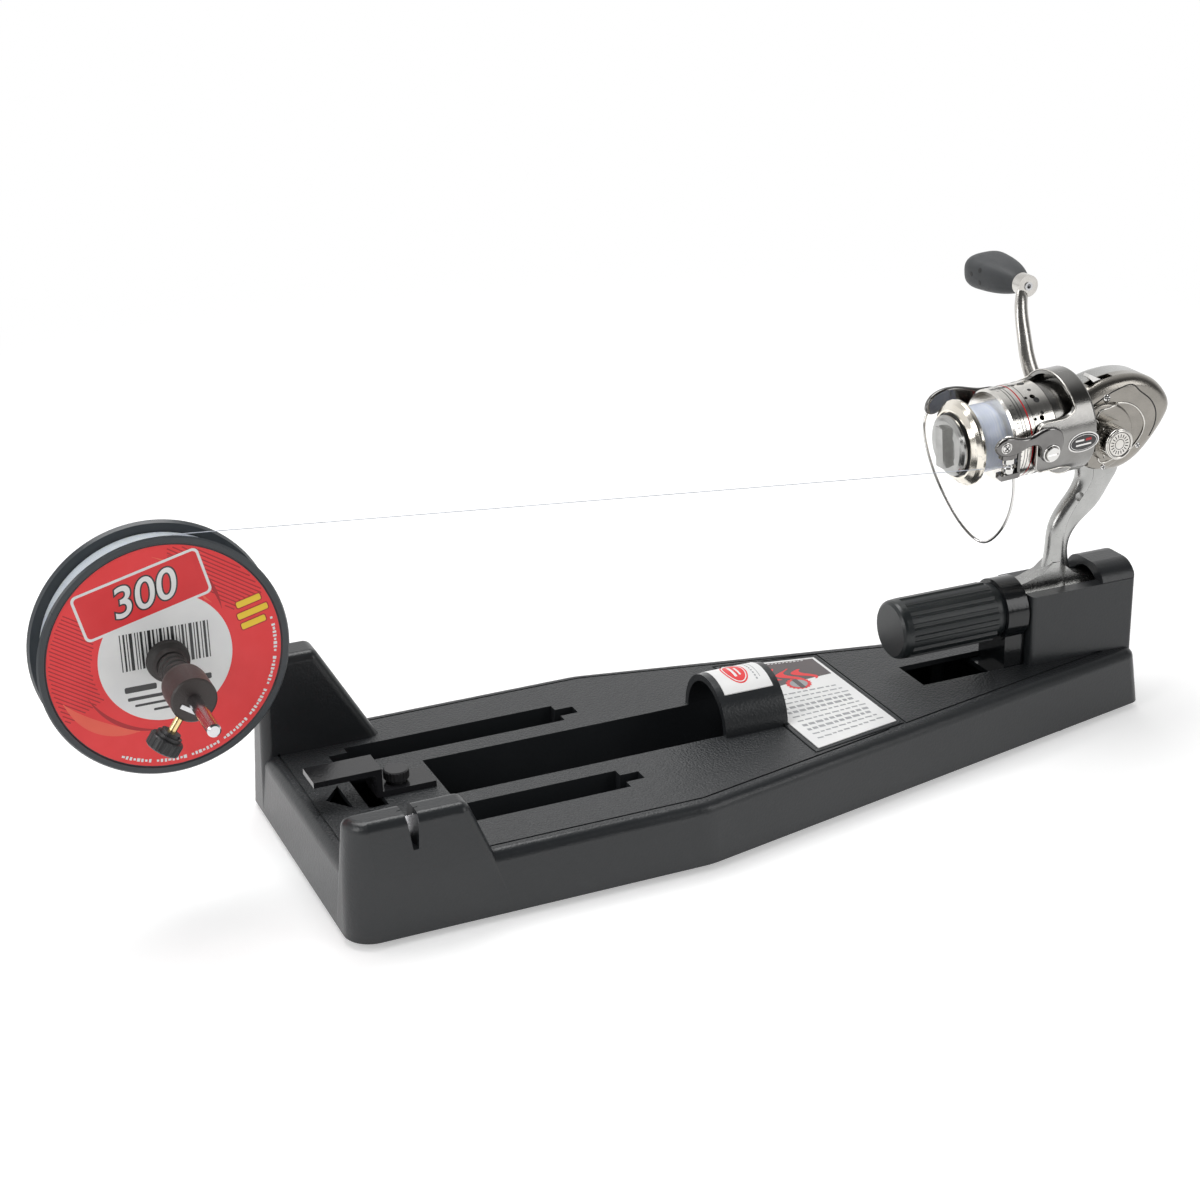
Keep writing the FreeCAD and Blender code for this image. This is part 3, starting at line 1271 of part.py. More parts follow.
def make_reel_body():
    """Two casting halves, a rear cap, and the foot and stem that stand in the clamp."""
    half, split, back = body_half.number, cover_split.number, cap_split.number
    outer = thick_face(smooth_outline(body_outline), half, body_round.number)
    inner = thick_face(smooth_outline(inward(body_outline, body_wall.number)), half - body_wall.number,
                       body_round.number - body_wall.number)
    far_space = block_between((-20, split, -60), (back, 60, 60))
    near_space = block_between((-20, -60, -60), (back, split, 60))
    rear_space = block_between((back, -60, -60), (90, 60, 60))
    behind_rotor = block_between((front_clear, -60, -60), (back, 60, 60))
    shaft_hole = across(drive_shaft_radius.number + 0.4, -60, 60)
    bearing = bearing_radius.number
    seat_u = bearing_seat.number
    neck = along(pinion_bearing_radius.number + 2, seat_u, neck_end)
    main_hole = along(pinion_radius.number + 0.4, -20, 8)
    seat = along(pinion_bearing_radius.number, seat_u - 0.1, seat_u + pinion_bearing_width.number)
    shaft_slot = along(shaft_radius.number + 0.4, 5, 60)
    side, width = lever_side.number, lever_width.number
    lever_slot = block_between((7, side - 0.3, 12), (22, side + width + 0.3, 30))

    stem = make_stem()
    far_boss = across(10, half - 3, boss_face.number)
    far_bearing = across(bearing, boss_face.number - bearing_width.number, boss_face.number + 1)
    far = outer.common(far_space).cut(inner).fuse([neck, far_boss.common(behind_rotor)])
    stem_top = stem.cut(inner).cut(near_space.common(outer)).cut(rear_space.common(outer))
    far = far.fuse([stem_top] + make_foot())
    far = far.cut([shaft_hole, far_bearing, main_hole, seat, shaft_slot, lever_slot])
    in_reel("reel_body_solid", far, "reel_body")

    disc = across(cover_radius.number, -half - cover_rise.number, -half + 1)
    disc = disc.makeFillet(1.5, [edge for edge in disc.Edges
                                 if abs(middle(edge).y + half + cover_rise.number) < 0.01])
    knuckle = across(11, -near_boss.number, -half + 1)
    near_bearing = across(bearing, -near_boss.number - 1, -near_boss.number + bearing_width.number)
    pivot = across(1.5, -half + 1, lever_side.number, wheel_u.number, wheel_w.number)
    pivot_seat = across(3, -half + 1, wheel_face - 3.2, wheel_u.number, wheel_w.number)
    near = outer.common(near_space).cut(inner)
    near = near.fuse([disc.common(behind_rotor), knuckle.common(behind_rotor), pivot, pivot_seat])
    neck_space = along(pinion_bearing_radius.number + 2 + fit.number, -20, neck_end + 0.1)
    near = near.cut([shaft_hole, near_bearing, neck_space, main_hole, shaft_slot, lever_slot, stem])
    in_reel("body_cover_solid", near, "body_cover")

    rear = outer.common(rear_space).cut(inner)
    in_reel("rear_cap_solid", rear.cut([shaft_slot, stem]), "rear_cap")




# ---------------------------------------------------------------- reel: works inside the body

def toothed(disc, count, root, tip, width, start, end, u, w, first):
    """A disc across the reel with straight teeth standing around it."""
    teeth = []
    for number in range(count):
        tooth = block_between((root - 1, start, -width / 2), (tip, end, width / 2))
        tooth.rotate(FreeCAD.Vector(0, 0, 0), FreeCAD.Vector(0, 1, 0), first + 360 * number / count)
        tooth.translate(FreeCAD.Vector(u, 0, w))
        teeth.append(tooth)
    return disc.fuse(teeth)


def make_drive():
    """Drive gear and shaft, its two bearings, the near cap, the pinion and the main shaft."""
    u, w = handle_x.number, handle_z.number
    shaft_r = drive_shaft_radius.number
    face = -pinion_radius.number - 0.3
    radius = drive_radius.number
    disc = across(radius, face - 4.2, face - 1.2)
    gear = toothed(disc, int(drive_teeth.number), radius - 3, radius, 0.9, face - 1.3, face, u, w, 0)
    rise = tooth_height.number / 2
    hub = across(hub_gear_radius.number - rise, wheel_face - 2.6, wheel_face)
    heading = math.degrees(math.atan2(wheel_w.number - w, wheel_u.number - u))
    hub = toothed(hub, int(hub_teeth.number), hub_gear_radius.number - rise, hub_gear_radius.number + rise,
                  1.1,
                  wheel_face - 2.6, wheel_face, u, w, -heading)
    shaft = across(shaft_r, -near_boss.number - 0.2, handle_hub_start.number + 8)
    in_reel("drive_gear_solid", gear.fuse([hub, shaft]), "drive_gear")
    width = bearing_width.number
    rings = []
    for start in (-near_boss.number, boss_face.number - width):
        ring = across(bearing_radius.number, start, start + width).cut(across(shaft_r + fit.number, -60, 60))
        rings.append(ring)
    in_reel("drive_bearing_rings", Part.makeCompound(rings), "drive_bearings")

    cap_start = -near_boss.number - 0.2
    cap_end = cap_start - cap_length.number
    cap = across(cap_radius.number, cap_end, cap_start)
    cap = cap.makeFillet(0.8, [edge for edge in cap.Edges if abs(middle(edge).y - cap_end) < 0.01])
    grooves = []
    for number in range(int(cap_grooves.number)):
        groove = Part.makeCylinder(0.45, 5.4, FreeCAD.Vector(cap_radius.number + 0.15, cap_end + 1.2, 0),
                                   FreeCAD.Vector(0, 1, 0))
        groove.rotate(FreeCAD.Vector(0, 0, 0), FreeCAD.Vector(0, 1, 0), 360 * number / cap_grooves.number)
        groove.translate(FreeCAD.Vector(u, 0, w))
        grooves.append(groove)
    in_reel("handle_cap_solid", cap.cut(grooves), "handle_cap")

    radius = pinion_radius.number
    gear = along(radius, pinion_start.number, pinion_end.number)
    spaces = []
    for number in range(int(pinion_teeth.number)):
        space = along(0.7, 0.5, pinion_end.number + 1, 0, radius + 0.15)
        space.rotate(FreeCAD.Vector(0, 0, 0), FreeCAD.Vector(1, 0, 0), 360 * number / pinion_teeth.number)
        spaces.append(space)
    gear = gear.cut(spaces).cut(along(shaft_radius.number + fit.number, -60, 60))
    in_reel("pinion_solid", gear, "pinion")
    seat_u = bearing_seat.number
    ring = along(pinion_bearing_radius.number, seat_u, seat_u + pinion_bearing_width.number)
    in_reel("pinion_bearing_solid", ring.cut(along(radius + fit.number, -60, 60)), "pinion_bearing")

    shaft = along(shaft_radius.number, shaft_front.number, shaft_back.number)
    in_reel("main_shaft_solid", shaft, "main_shaft")
    front = slider_u.number
    back = front + slider_length.number
    slider = block_between((front, face + 0.3, wheel_w.number - 9.5), (back, 5, 3.6))
    channel = block_between((front + 1.7, face, wheel_w.number - 8.4),
                            (back - 1.7, -0.8, wheel_w.number + 8.4))
    corners = [edge for edge in slider.Edges if middle(edge).z < wheel_w.number - 9.4
               and abs(direction(edge)[1]) > 0.9]
    slider = slider.makeChamfer(1.5, corners)
    slider = slider.cut(channel).cut(along(shaft_radius.number, -60, 60))
    in_reel("crosswind_block_solid", slider, "crosswind_block")
    at_u, at_w = wheel_u.number, wheel_w.number
    pitch = wheel_radius.number
    wheel = across(pitch - rise, wheel_face - 2.6, wheel_face, at_u, at_w)
    count = int(wheel_teeth.number)
    wheel = toothed(wheel, count, pitch - rise, pitch + rise, 1.1, wheel_face - 2.6, wheel_face, at_u, at_w,
                    180 - heading + 180 / count)
    pin = across(1.1, wheel_face - 1, face, at_u - stroke.number / 2, at_w)
    bore = across(1.5 + fit.number, -60, 60, at_u, at_w)
    in_reel("crosswind_gear_solid", wheel.fuse(pin).cut(bore), "crosswind_gear")


def make_lever():
    """Small lever on top of the body that lets the rotor turn backwards."""
    side, width = lever_side.number, lever_width.number
    pivot_u, pivot_w = 16, 16.5
    disc = across(2.6, side, side + width, pivot_u, pivot_w)
    outline = [(pivot_u - 1, 14.6), (pivot_u + 2, 18.6), (11, 22.4), (7.4, 24.6), (6.4, 23.2), (9.6, 20)]
    wire = Part.makePolygon([FreeCAD.Vector(u, side, w) for u, w in outline + outline[:1]])
    tab = Part.Face(wire).extrude(FreeCAD.Vector(0, width, 0))
    in_reel("lever_solid", disc.fuse(tab).removeSplitter(), "anti_reverse_lever")


# ---------------------------------------------------------------- reel: rotor and bail

# one side of a rotor arm seen from the side: distance behind the reference point and height
arm_edge = [(-8, 19), (-12.5, 17.6), (-14.5, 16), (-17.6, 14.8), (-22, 14.2), (-32, 14.2), (-35.5, 12.8),
            (-37.8, 9.6), (-38.6, 5)]


def make_rotor():
    """Drum, rear rim and two broad arms, with the nut that holds them on the pinion."""
    drum_front, drum_back = bail_pivot.number + 4, -6
    back, front = rotor_back.number, rim_front.number
    drum = along(drum_radius.number, drum_front, drum_back)
    rim_disc = along(rotor_radius.number, -8.6, back)
    rim_disc = rim_disc.makeFillet(2, [edge for edge in rim_disc.Edges
                                       if edge.Length > 100 and middle(edge).x > back - 0.1])
    inside = along(arm_inner.number, -60, 10)
    rim_band = along(rotor_radius.number, front, -8).cut(inside)
    sleeve = along(rotor_radius.number, -40, -8).cut(inside)
    share = arm_half.number / arm_edge[4][1]
    upper = [(u, w * share) for u, w in arm_edge]
    edges = []
    for side in (1, -1):
        curve = Part.BSplineCurve()
        curve.interpolate([FreeCAD.Vector(u, -40, side * w) for u, w in upper])
        edges.append(curve.toShape())
    for u, w in (upper[0], upper[-1]):
        edges.append(Part.makeLine(FreeCAD.Vector(u, -40, -w), FreeCAD.Vector(u, -40, w)))
    outline = Part.Wire(Part.sortEdges(edges)[0])
    arms = sleeve.common(Part.Face(outline).extrude(FreeCAD.Vector(0, 80, 0)))
    solid = drum.fuse([rim_disc, rim_band, arms])
    tools = [along(drum_radius.number - 2.2, drum_front + 3, 2), along(cavity_radius.number, -6.8, 2),
             along(pinion_radius.number, -60, 10)]
    tools += [across(pivot_radius.number, side * 20, side * 40, bail_pivot.number, 0) for side in (-1, 1)]
    in_reel("rotor_solid", solid.cut(tools).removeSplitter(), "rotor", rotor)

    corners = [FreeCAD.Vector(drum_front, 7 * math.cos(math.radians(60 * side)),
                              7 * math.sin(math.radians(60 * side)))
               for side in range(7)]
    nut = Part.Face(Part.makePolygon(corners)).extrude(FreeCAD.Vector(-3.5, 0, 0))
    nut = nut.cut(along(pinion_radius.number, -60, 10))
    in_reel("rotor_nut_solid", nut, "rotor_nut", rotor)


def lever_plate(outline, v_start, v_end, radius):
    """A flat lever across the reel with softened edges."""
    face = Part.Face(smooth_outline(outline))
    face.translate(FreeCAD.Vector(0, v_start, 0))
    solid = face.extrude(FreeCAD.Vector(0, v_end - v_start, 0))
    chosen = [edge for edge in solid.Edges
              if abs(middle(edge).y - v_start) < 0.01 or abs(middle(edge).y - v_end) < 0.01]
    return solid.makeFillet(radius, chosen)


def make_bail():
    """Near arm with the line roller, far arm, the wire between them and their screws."""
    pivot, thick = bail_pivot.number, bail_thickness.number
    outside = rotor_radius.number
    start = -outside - 0.3
    near = lever_plate(near_outline, start - thick, start, 1.3)
    at_u, at_v, low_end, high_end = roller_u.number, roller_v.number, roller_low.number, roller_high.number
    seat, clear = roller_seat.number, gap.number
    cheek = low_end - clear - roller_cheek.number
    nose, tail, inside = at_u - 5.5, at_u + 4.4, at_v + 2.9
    top = block_between((nose, start - 2.2, high_end + clear), (tail, inside, seat))
    top = top.makeFillet(2.6, [edge for edge in top.Edges if direction(edge)[2] > 0.9])
    web = block_between((tail, start - 1.2, cheek), (tail + 1.8, inside - 0.6, high_end + 4.6))
    low = block_between((nose, start - 2, cheek), (tail + 0.6, inside - 0.6, low_end - clear))
    near = near.fuse([top, web, low])
    upright_axis = FreeCAD.Vector(0, 0, 1)
    screw_r, pivot_r = roller_screw_radius.number, pivot_radius.number
    screw_hole = Part.makeCylinder(screw_r, 40, FreeCAD.Vector(at_u, at_v, cheek + 1.3), upright_axis)
    screw_recess = Part.makeCylinder(2.9, 10, FreeCAD.Vector(at_u, at_v, seat), upright_axis)
    near = near.cut([screw_hole, screw_recess, across(pivot_r, -60, 0, pivot, 0)])
    in_reel("near_arm_solid", near.removeSplitter(), "bail_arm_near", rotor)

    far = lever_plate(far_outline, outside + 0.3, outside + 0.3 + thick, 1.3)
    far = far.cut(across(pivot_r, 0, 60, pivot, 0))
    in_reel("far_arm_solid", far.removeSplitter(), "bail_arm_far", rotor)

    height = high_end - low_end
    roller = Part.makeCylinder(roller_radius.number, height, FreeCAD.Vector(at_u, at_v, low_end),
                               upright_axis)
    groove = Part.makeTorus(roller_radius.number + 1.4, 2,
                            FreeCAD.Vector(at_u, at_v, (low_end + high_end) / 2),
                            upright_axis)
    bore = Part.makeCylinder(screw_r + fit.number, height + 2, FreeCAD.Vector(at_u, at_v, low_end - 1),
                             upright_axis)
    in_reel("roller_solid", roller.cut(groove).cut(bore), "line_roller", rotor)

    shank = Part.makeCylinder(screw_r, seat - cheek - 1.3, FreeCAD.Vector(at_u, at_v, cheek + 1.3),
                              upright_axis)
    head = Part.makeCylinder(2.6, 1.2, FreeCAD.Vector(at_u, at_v, seat), upright_axis)
    slots = [block_between((at_u - along_u, at_v - along_v, seat + 0.5),
                           (at_u + along_u, at_v + along_v, seat + 2))
             for along_u, along_v in ((1.8, 0.35), (0.35, 1.8))]
    in_reel("roller_screw_solid", shank.fuse(head).cut(slots), "roller_screw", rotor)

    screws = []
    for side in (-1, 1):
        outer = side * (outside + thick + 0.4)
        bar = across(pivot_r - fit.number, side * (arm_inner.number + 0.2), outer, pivot, 0)
        cap = across(3.8, outer, outer + side * 1.5, pivot, 0)
        slot = block_between((pivot - 3, min(outer + side, outer + side * 2), -0.5),
                             (pivot + 3, max(outer + side, outer + side * 2), 0.5))
        screws.append(bar.fuse(cap).cut(slot))
    in_reel("bail_screw_pair", Part.makeCompound(screws), "bail_screws", rotor)

    route = [FreeCAD.Vector(*point) for point in wire_route]
    curve = Part.BSplineCurve()
    curve.interpolate(route)
    path = Part.Wire(curve.toShape())
    in_reel("bail_wire_solid", tube_along(path, wire_radius.number), "bail_wire", rotor)


# outlines of the bail's two arms: distance behind the reference point and height, in the rotor's frame
near_outline = [(-24.6, 3), (-25.4, 9.4), (-28.6, 13.6), (-34, 15), (-39.6, 13.8), (-44.6, 12.2), (-50, 12.4),
                (-55, 14), (-60, 14.8), (-64, 13.6), (-66.2, 10.4), (-65, 6.6), (-60.4, 4.2), (-54, 4),
                (-47, 6.2), (-41.4, 6.4), (-38.2, 3), (-37.2, -2.6), (-32, -5.4), (-26.8, -2.8)]
far_outline = [(-24.6, 3), (-26.8, -2.8), (-32, -5.4), (-37.6, -3), (-44, 2.6), (-52, 6), (-60, 6),
               (-67, 3.2),
               (-71.4, 5), (-71.8, 9.6), (-68.4, 14.4), (-62, 16.8), (-54, 16.6), (-45, 14.2), (-36, 12),
               (-28.6, 10.6)]
# the bail wire's path: along, across and up in the rotor's frame
wire_route = [(-52.4, -28, -10.3), (-51.6, -28, -18), (-51.8, -25.5, -35), (-54, -19, -50),
              (-57.5, -11, -57.5),
              (-62.5, -1, -53), (-67.5, 9, -41), (-71.5, 18, -26), (-73.5, 25, -11), (-72.6, 29, 1),
              (-69, 30.3, 7)]


# ---------------------------------------------------------------- reel: spool and drag

def make_reel_spool():
    """Spool with skirt, lip, wound line, drag washers, seal and drag knob."""
    front, length = skirt_front.number, skirt_length.number
    bore = shaft_radius.number + fit.number
    web = 1.8
    arbor_front = front - arbor_length.number
    lip_back = arbor_front
    outer = skirt_radius.number
    profile = [(lip_back - 8, arbor_radius.number - 0.4), (lip_back - 8, arbor_radius.number),
               (front, arbor_radius.number), (front, outer - 1.2), (front + 1.2, outer),
               (front + length - 1, outer), (front + length, outer - 0.8),
               (front + length, outer - 1.6), (front + web, outer - 1.6), (front + web, bore),
               (front - web, bore),
               (front - web, arbor_radius.number - 2), (lip_back - 6, arbor_radius.number - 2),
               (lip_back - 6, arbor_radius.number - 0.4)]
    spool = turned("reel_spool_turning", profile, frame=reel)
    for name, place_u, radius, count in (("large", 18.5, 1.5, 12), ("small", 14.5, 0.9, 12)):
        drill = body_sketch(spool, f"skirt_{name}_hole", "XY_Plane")
        draw_circle(drill, front + place_u, 0, radius)
        pocket = spool.newObject("PartDesign::Pocket", f"skirt_{name}_drilling")
        pocket.Profile = drill
        pocket.Length = 60
        spool.Tip = pocket
        around(spool, f"skirt_{name}_ring", pocket, count)
    finish(spool, "reel_spool")
    lip = [(lip_back - 8, arbor_radius.number), (lip_back - 8, 17.6), (lip_back - 9.4, 17.8),
           (lip_back - 9.4, 18.8),
           (lip_back - 7.4, 21.4), (lip_back - 5.6, lip_radius.number - 0.3),
           (lip_back - 4.6, lip_radius.number),
           (lip_back - 3.2, lip_radius.number - 0.2), (lip_back, line_radius.number + 0.6),
           (lip_back, arbor_radius.number)]
    finish(turned("spool_lip_solid", lip, frame=reel), "spool_lip")
    wound = [(lip_back, arbor_radius.number), (lip_back, line_radius.number - 0.6),
             (lip_back + 1.5, line_radius.number), (front - 1.5, line_radius.number),
             (front, line_radius.number - 0.6), (front, arbor_radius.number)]
    finish(turned("reel_line_solid", wound, frame=reel), "wound_reel_line")
    washers = []
    for number in range(3):
        start = front - web - 1.1 - 1.3 * number
        washers.append(along(10, start, start + 1).cut(along(bore, -90, 20)))
    in_reel("drag_washer_stack", Part.makeCompound(washers), "drag_washers")
    knob_back = lip_back - 8.3
    seal = [(knob_back - 1.2, 13), (knob_back - 1.2, seal_radius.number), (knob_back, seal_radius.number),
            (knob_back, 13)]
    finish(turned("drag_seal_solid", seal, frame=reel), "drag_knob_seal")
    start = knob_back - 1.3
    radius = knob_radius.number
    profile = [(start, bore), (start, radius - 0.4), (start - 0.8, radius), (start - 2.4, radius),
               (start - 3.4, radius - 1.4), (start - 3.9, radius - 2.8), (start - 4.3, radius - 6.5),
               (start - 4.5, 0),
               (start - 3, 0), (start - 3, bore)]
    knob = turned("drag_knob_turning", profile, frame=reel)
    wing = body_sketch(knob, "drag_wing_outline", "YZ_Plane")
    draw(wing, [(-3.4, -11), (3.4, -11), (3.4, 11), (-3.4, 11)])
    wing.AttachmentOffset = FreeCAD.Placement(FreeCAD.Vector(0, 0, start - 8), FreeCAD.Rotation())
    pad = knob.newObject("PartDesign::Pad", "drag_wing")
    pad.Profile = wing
    pad.Length = 4.6
    knob.Tip = pad
    finish(knob, "drag_knob")


# ---------------------------------------------------------------- reel: handle

# the arm's middle line: along, across and up in the reel's frame
arm_route = [(11, 39.5, -9), (7.8, 42.6, 3), (5.4, 46.5, 15), (5.8, 53.5, 36), (9.2, 60, 49),
             (14.2, 63.4, 55.8)]


def arm_ring(point, heading, half_width, half_thickness):
    """An ellipse across the handle's arm."""
    side = heading.cross(FreeCAD.Vector(0, 1, 0)).normalize()
    flat = side.cross(heading).normalize()
    ellipse = Part.Ellipse(point + side * half_width, point + flat * half_thickness, point)
    return Part.Wire(ellipse.toShape())


# sections of the grip: distance from its root, half the width along the reel and half the height
grip_sections = [(0, 5.2, 5), (3.5, 6.8, 6.4), (10, 9.4, 8), (20, 12, 9.4), (30, 13.4, 10), (37, 13.2, 9.8),
                 (40, 12, 8.6)]


def paddle_ring(u, v, w, wide, tall):
    """One section of the grip, an oval with squared-off sides."""
    points = []
    for number in range(16):
        turn = math.radians(22.5 * number)
        share_u, share_w = math.cos(turn), math.sin(turn)
        points.append(FreeCAD.Vector(u + wide * math.copysign(abs(share_u) ** 0.7, share_u), v,
                                     w + tall * math.copysign(abs(share_w) ** 0.7, share_w)))
    curve = Part.BSplineCurve()
    curve.interpolate(points, PeriodicFlag=True)
    return Part.Wire(curve.toShape())


def make_handle():
    """Cranked arm on the far side, its grip and the pin that the grip turns on."""
    start, plane, thick = handle_hub_start.number, arm_plane.number, arm_thickness.number
    at_u, at_w = eye_u.number, eye_w.number
    curve = Part.BSplineCurve()
    curve.interpolate([FreeCAD.Vector(*point) for point in arm_route])
    rings = []
    steps = 8
    for number in range(steps + 1):
        at = curve.FirstParameter + (curve.LastParameter - curve.FirstParameter) * number / steps
        width = 5.4 - 1.7 * number / steps
        rings.append(arm_ring(curve.value(at), curve.tangent(at)[0], width, thick / 2))
    blade = Part.makeLoft(rings, True, False)
    hub = across(6.4, start, start + hub_length.number)
    hub = hub.makeFillet(1.6, [edge for edge in hub.Edges
                               if abs(middle(edge).y - start - hub_length.number) < 0.01])
    eye = across(6.2, plane, plane + thick + 1.4, at_u, at_w)
    solid = hub.fuse([blade, eye]).cut(across(drive_shaft_radius.number, 0, start + 8))
    solid = solid.cut(across(2.4, plane - 15, plane + thick + 5, at_u, at_w))
    in_reel("handle_arm_solid", solid.removeSplitter(), "handle_arm")

    pin_start = plane - 0.6
    grip_start = plane + thick + 1.6
    pin = across(2.4, pin_start, grip_start + grip_length.number - 6, at_u, at_w)
    socket = across(1.3, pin_start - 1, pin_start + 1.6, at_u, at_w)
    in_reel("grip_pin_solid", pin.cut(socket), "handle_grip_pin")

    wires = [paddle_ring(at_u, grip_start + distance, at_w, wide, tall)
             for distance, wide, tall in grip_sections + [(grip_length.number, 10.4, 7)]]
    grip = Part.makeLoft(wires, True, False)
    grip = grip.cut(across(2.4 + fit.number, 0, grip_start + grip_length.number - 5.9, at_u, at_w))
    in_reel("handle_grip_solid", grip, "handle_grip")


# ---------------------------------------------------------------- line

def make_line():
    """Taut line from the top of the supply spool to the reel's roller."""
    supply = vector(axle_x + 12, line_offset, axle_z + line_leave)
    roller = rotor_point(roller_u, roller_v - roller_radius + 0.35, (roller_low + roller_high) / 2)
    finish(feature("line_solid", bar_between(line_diameter.number / 2, supply, roller)), "fishing_line")


# ---------------------------------------------------------------- build, check and export

def build_all():
    for make in (make_base_shell, make_bottom_plate, make_feet, make_bottom_screws, make_cutter_blade,
                 make_axle_bush, make_clip, make_labels, make_clamp_bolt, make_clamp_knob, make_clamp_jaw,
                 make_axle, make_supply_spool, make_tensioner, make_reel_body, make_drive, make_lever,
                 make_rotor, make_bail, make_reel_spool, make_handle, make_line):
        make()


def check_all():
    """Stops if any object failed or any sub-part has no valid shape."""
    doc.recompute()
    for item in doc.Objects:
        if "Invalid" in item.State or "Error" in item.State:
            raise RuntimeError(f"{item.Name} failed: {item.State}")
    for piece in pieces:
        if piece.Shape.isNull() or not piece.Shape.isValid() or piece.Shape.Volume <= 0:
            raise RuntimeError(f"{piece.Label} has no valid shape")


def export_all():
    os.makedirs("parts", exist_ok=True)
    for piece in pieces:
        piece.Shape.exportStep(f"parts/{piece.Label}.step")
    print(len(pieces), "sub-parts written")


build_all()
check_all()
export_all()
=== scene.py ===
"""Looks of the bench line winder: finishes, printed labels, small fittings, light and camera.

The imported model's frame is in metres: +X runs from the supply spool to the reel, +Y across the
base to the tall post, +Z is up, and the origin is on the floor at mid-length. Places on the winder
and the flat shapes of prints are written in millimetres, and MM turns them into metres.
"""

import math

import bmesh
import bpy
from mathutils import Matrix, Vector


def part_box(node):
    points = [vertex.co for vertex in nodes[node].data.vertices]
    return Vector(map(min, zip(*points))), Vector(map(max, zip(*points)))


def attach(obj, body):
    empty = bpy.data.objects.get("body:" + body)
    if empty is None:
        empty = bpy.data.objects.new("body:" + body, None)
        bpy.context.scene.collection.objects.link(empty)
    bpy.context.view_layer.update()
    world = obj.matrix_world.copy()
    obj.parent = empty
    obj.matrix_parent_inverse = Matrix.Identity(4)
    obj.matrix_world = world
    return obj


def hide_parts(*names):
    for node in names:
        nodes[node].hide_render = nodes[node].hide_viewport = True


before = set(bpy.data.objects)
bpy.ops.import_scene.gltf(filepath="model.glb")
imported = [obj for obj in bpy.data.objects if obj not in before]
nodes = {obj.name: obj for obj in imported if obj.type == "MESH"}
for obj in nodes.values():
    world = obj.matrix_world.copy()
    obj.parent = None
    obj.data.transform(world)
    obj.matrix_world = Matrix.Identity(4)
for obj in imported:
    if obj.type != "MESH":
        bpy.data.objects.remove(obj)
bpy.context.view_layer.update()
MM = 0.001


# -------------------- places on the winder

PLATE_HEIGHT = 36.0
SUPPLY_AXLE = Vector((-299.5, 0, 133.4))
REEL_ORIGIN = Vector((201.7, 0, 170.6))
REEL_TILT = math.radians(3.5)
ROTOR_TURN = math.radians(8)


def turned_pair(first, second, angle):
    """Two square directions turned together, the first towards the second."""
    return (first * math.cos(angle) + second * math.sin(angle),
            second * math.cos(angle) - first * math.sin(angle))


reel_back, reel_up = turned_pair(Vector((1, 0, 0)), Vector((0, 0, 1)), REEL_TILT)
reel_across = Vector((0, 1, 0))
rotor_across, rotor_up = turned_pair(reel_across, reel_up, ROTOR_TURN)


def reel_point(back, across, up):
    """A place on the reel, behind, across and above the middle of its rotor's rear."""
    return (REEL_ORIGIN + back * reel_back + across * reel_across + up * reel_up) * MM


def rotor_point(back, across, up):
    """The same for the rotor, which stands a little turned."""
    return (REEL_ORIGIN + back * reel_back + across * rotor_across + up * rotor_up) * MM


def round_axis(point, back, radius, turn):
    """A place at a radius from the reel's axis, turned about it from the near side, in radians."""
    return point(back, -radius * math.cos(turn), radius * math.sin(turn))


def put_in_scene(name, data):
    """A new object in the scene that shows its data."""
    made = bpy.data.objects.new(name, data)
    bpy.context.scene.collection.objects.link(made)
    return made


# -------------------- camera

CAMERA_PLACE = (-0.49605, -0.98991, 0.56210)
CAMERA_YAW = math.radians(23.013)
CAMERA_DIP = math.radians(22.551)
CAMERA_ROLL = math.radians(-1.435)
CAMERA_LENS = 69.217
FILM_WIDTH = 36
NEAREST_SEEN = 0.05
FARTHEST_SEEN = 50


def make_camera():
    """A long lens on the near side, a little above the base and towards the supply spool."""
    data = bpy.data.cameras.new("camera")
    data.sensor_width = FILM_WIDTH
    data.lens = CAMERA_LENS
    data.clip_start = NEAREST_SEEN
    data.clip_end = FARTHEST_SEEN
    camera = put_in_scene("camera", data)
    forward = Vector((math.sin(CAMERA_YAW) * math.cos(CAMERA_DIP),
                      math.cos(CAMERA_YAW) * math.cos(CAMERA_DIP), -math.sin(CAMERA_DIP)))
    level = Vector((math.cos(CAMERA_YAW), -math.sin(CAMERA_YAW), 0))
    right, up = turned_pair(level, level.cross(forward), CAMERA_ROLL)
    turn = Matrix((right, up, -forward)).transposed()
    camera.matrix_world = Matrix.Translation(CAMERA_PLACE) @ turn.to_4x4()
    bpy.context.scene.camera = camera


make_camera()


# -------------------- the line from spool to roller

LINE_DIAMETER = 0.0004
LINE_START = Vector((-287.5, 4, 186.4)) * MM
LINE_END = rotor_point(-56, -30.45, -2.8)
STRAIGHT_END = 6 * LINE_DIAMETER


def make_line():
    """One taut strand through its two ends; its points' own radius sets how thick it is."""
    curve = bpy.data.curves.new("line_strand", "CURVE")
    curve.dimensions = "3D"
    curve.bevel_depth = 1.0
    curve.bevel_resolution = 3
    along = (LINE_END - LINE_START).normalized()
    route = [LINE_START, LINE_START + along * STRAIGHT_END,
             LINE_START.lerp(LINE_END, 0.5), LINE_END - along * STRAIGHT_END, LINE_END]
    spline = curve.splines.new("NURBS")
    spline.points.add(len(route) - 1)
    for point, place in zip(spline.points, route):
        point.co = (*place, 1)
        point.radius = LINE_DIAMETER / 2
    spline.order_u = 3
    spline.use_endpoint_u = True
    strand = put_in_scene("line_strand", curve)
    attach(strand, "base")
    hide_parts("fishing_line")
    return strand


line_strand = make_line()


# -------------------- shader nodes

def feed(tree, socket, value):
    """Links a socket to another node's output, or gives it a plain value."""
    if isinstance(value, bpy.types.NodeSocket):
        tree.links.new(value, socket)
    elif value is not None:
        socket.default_value = value


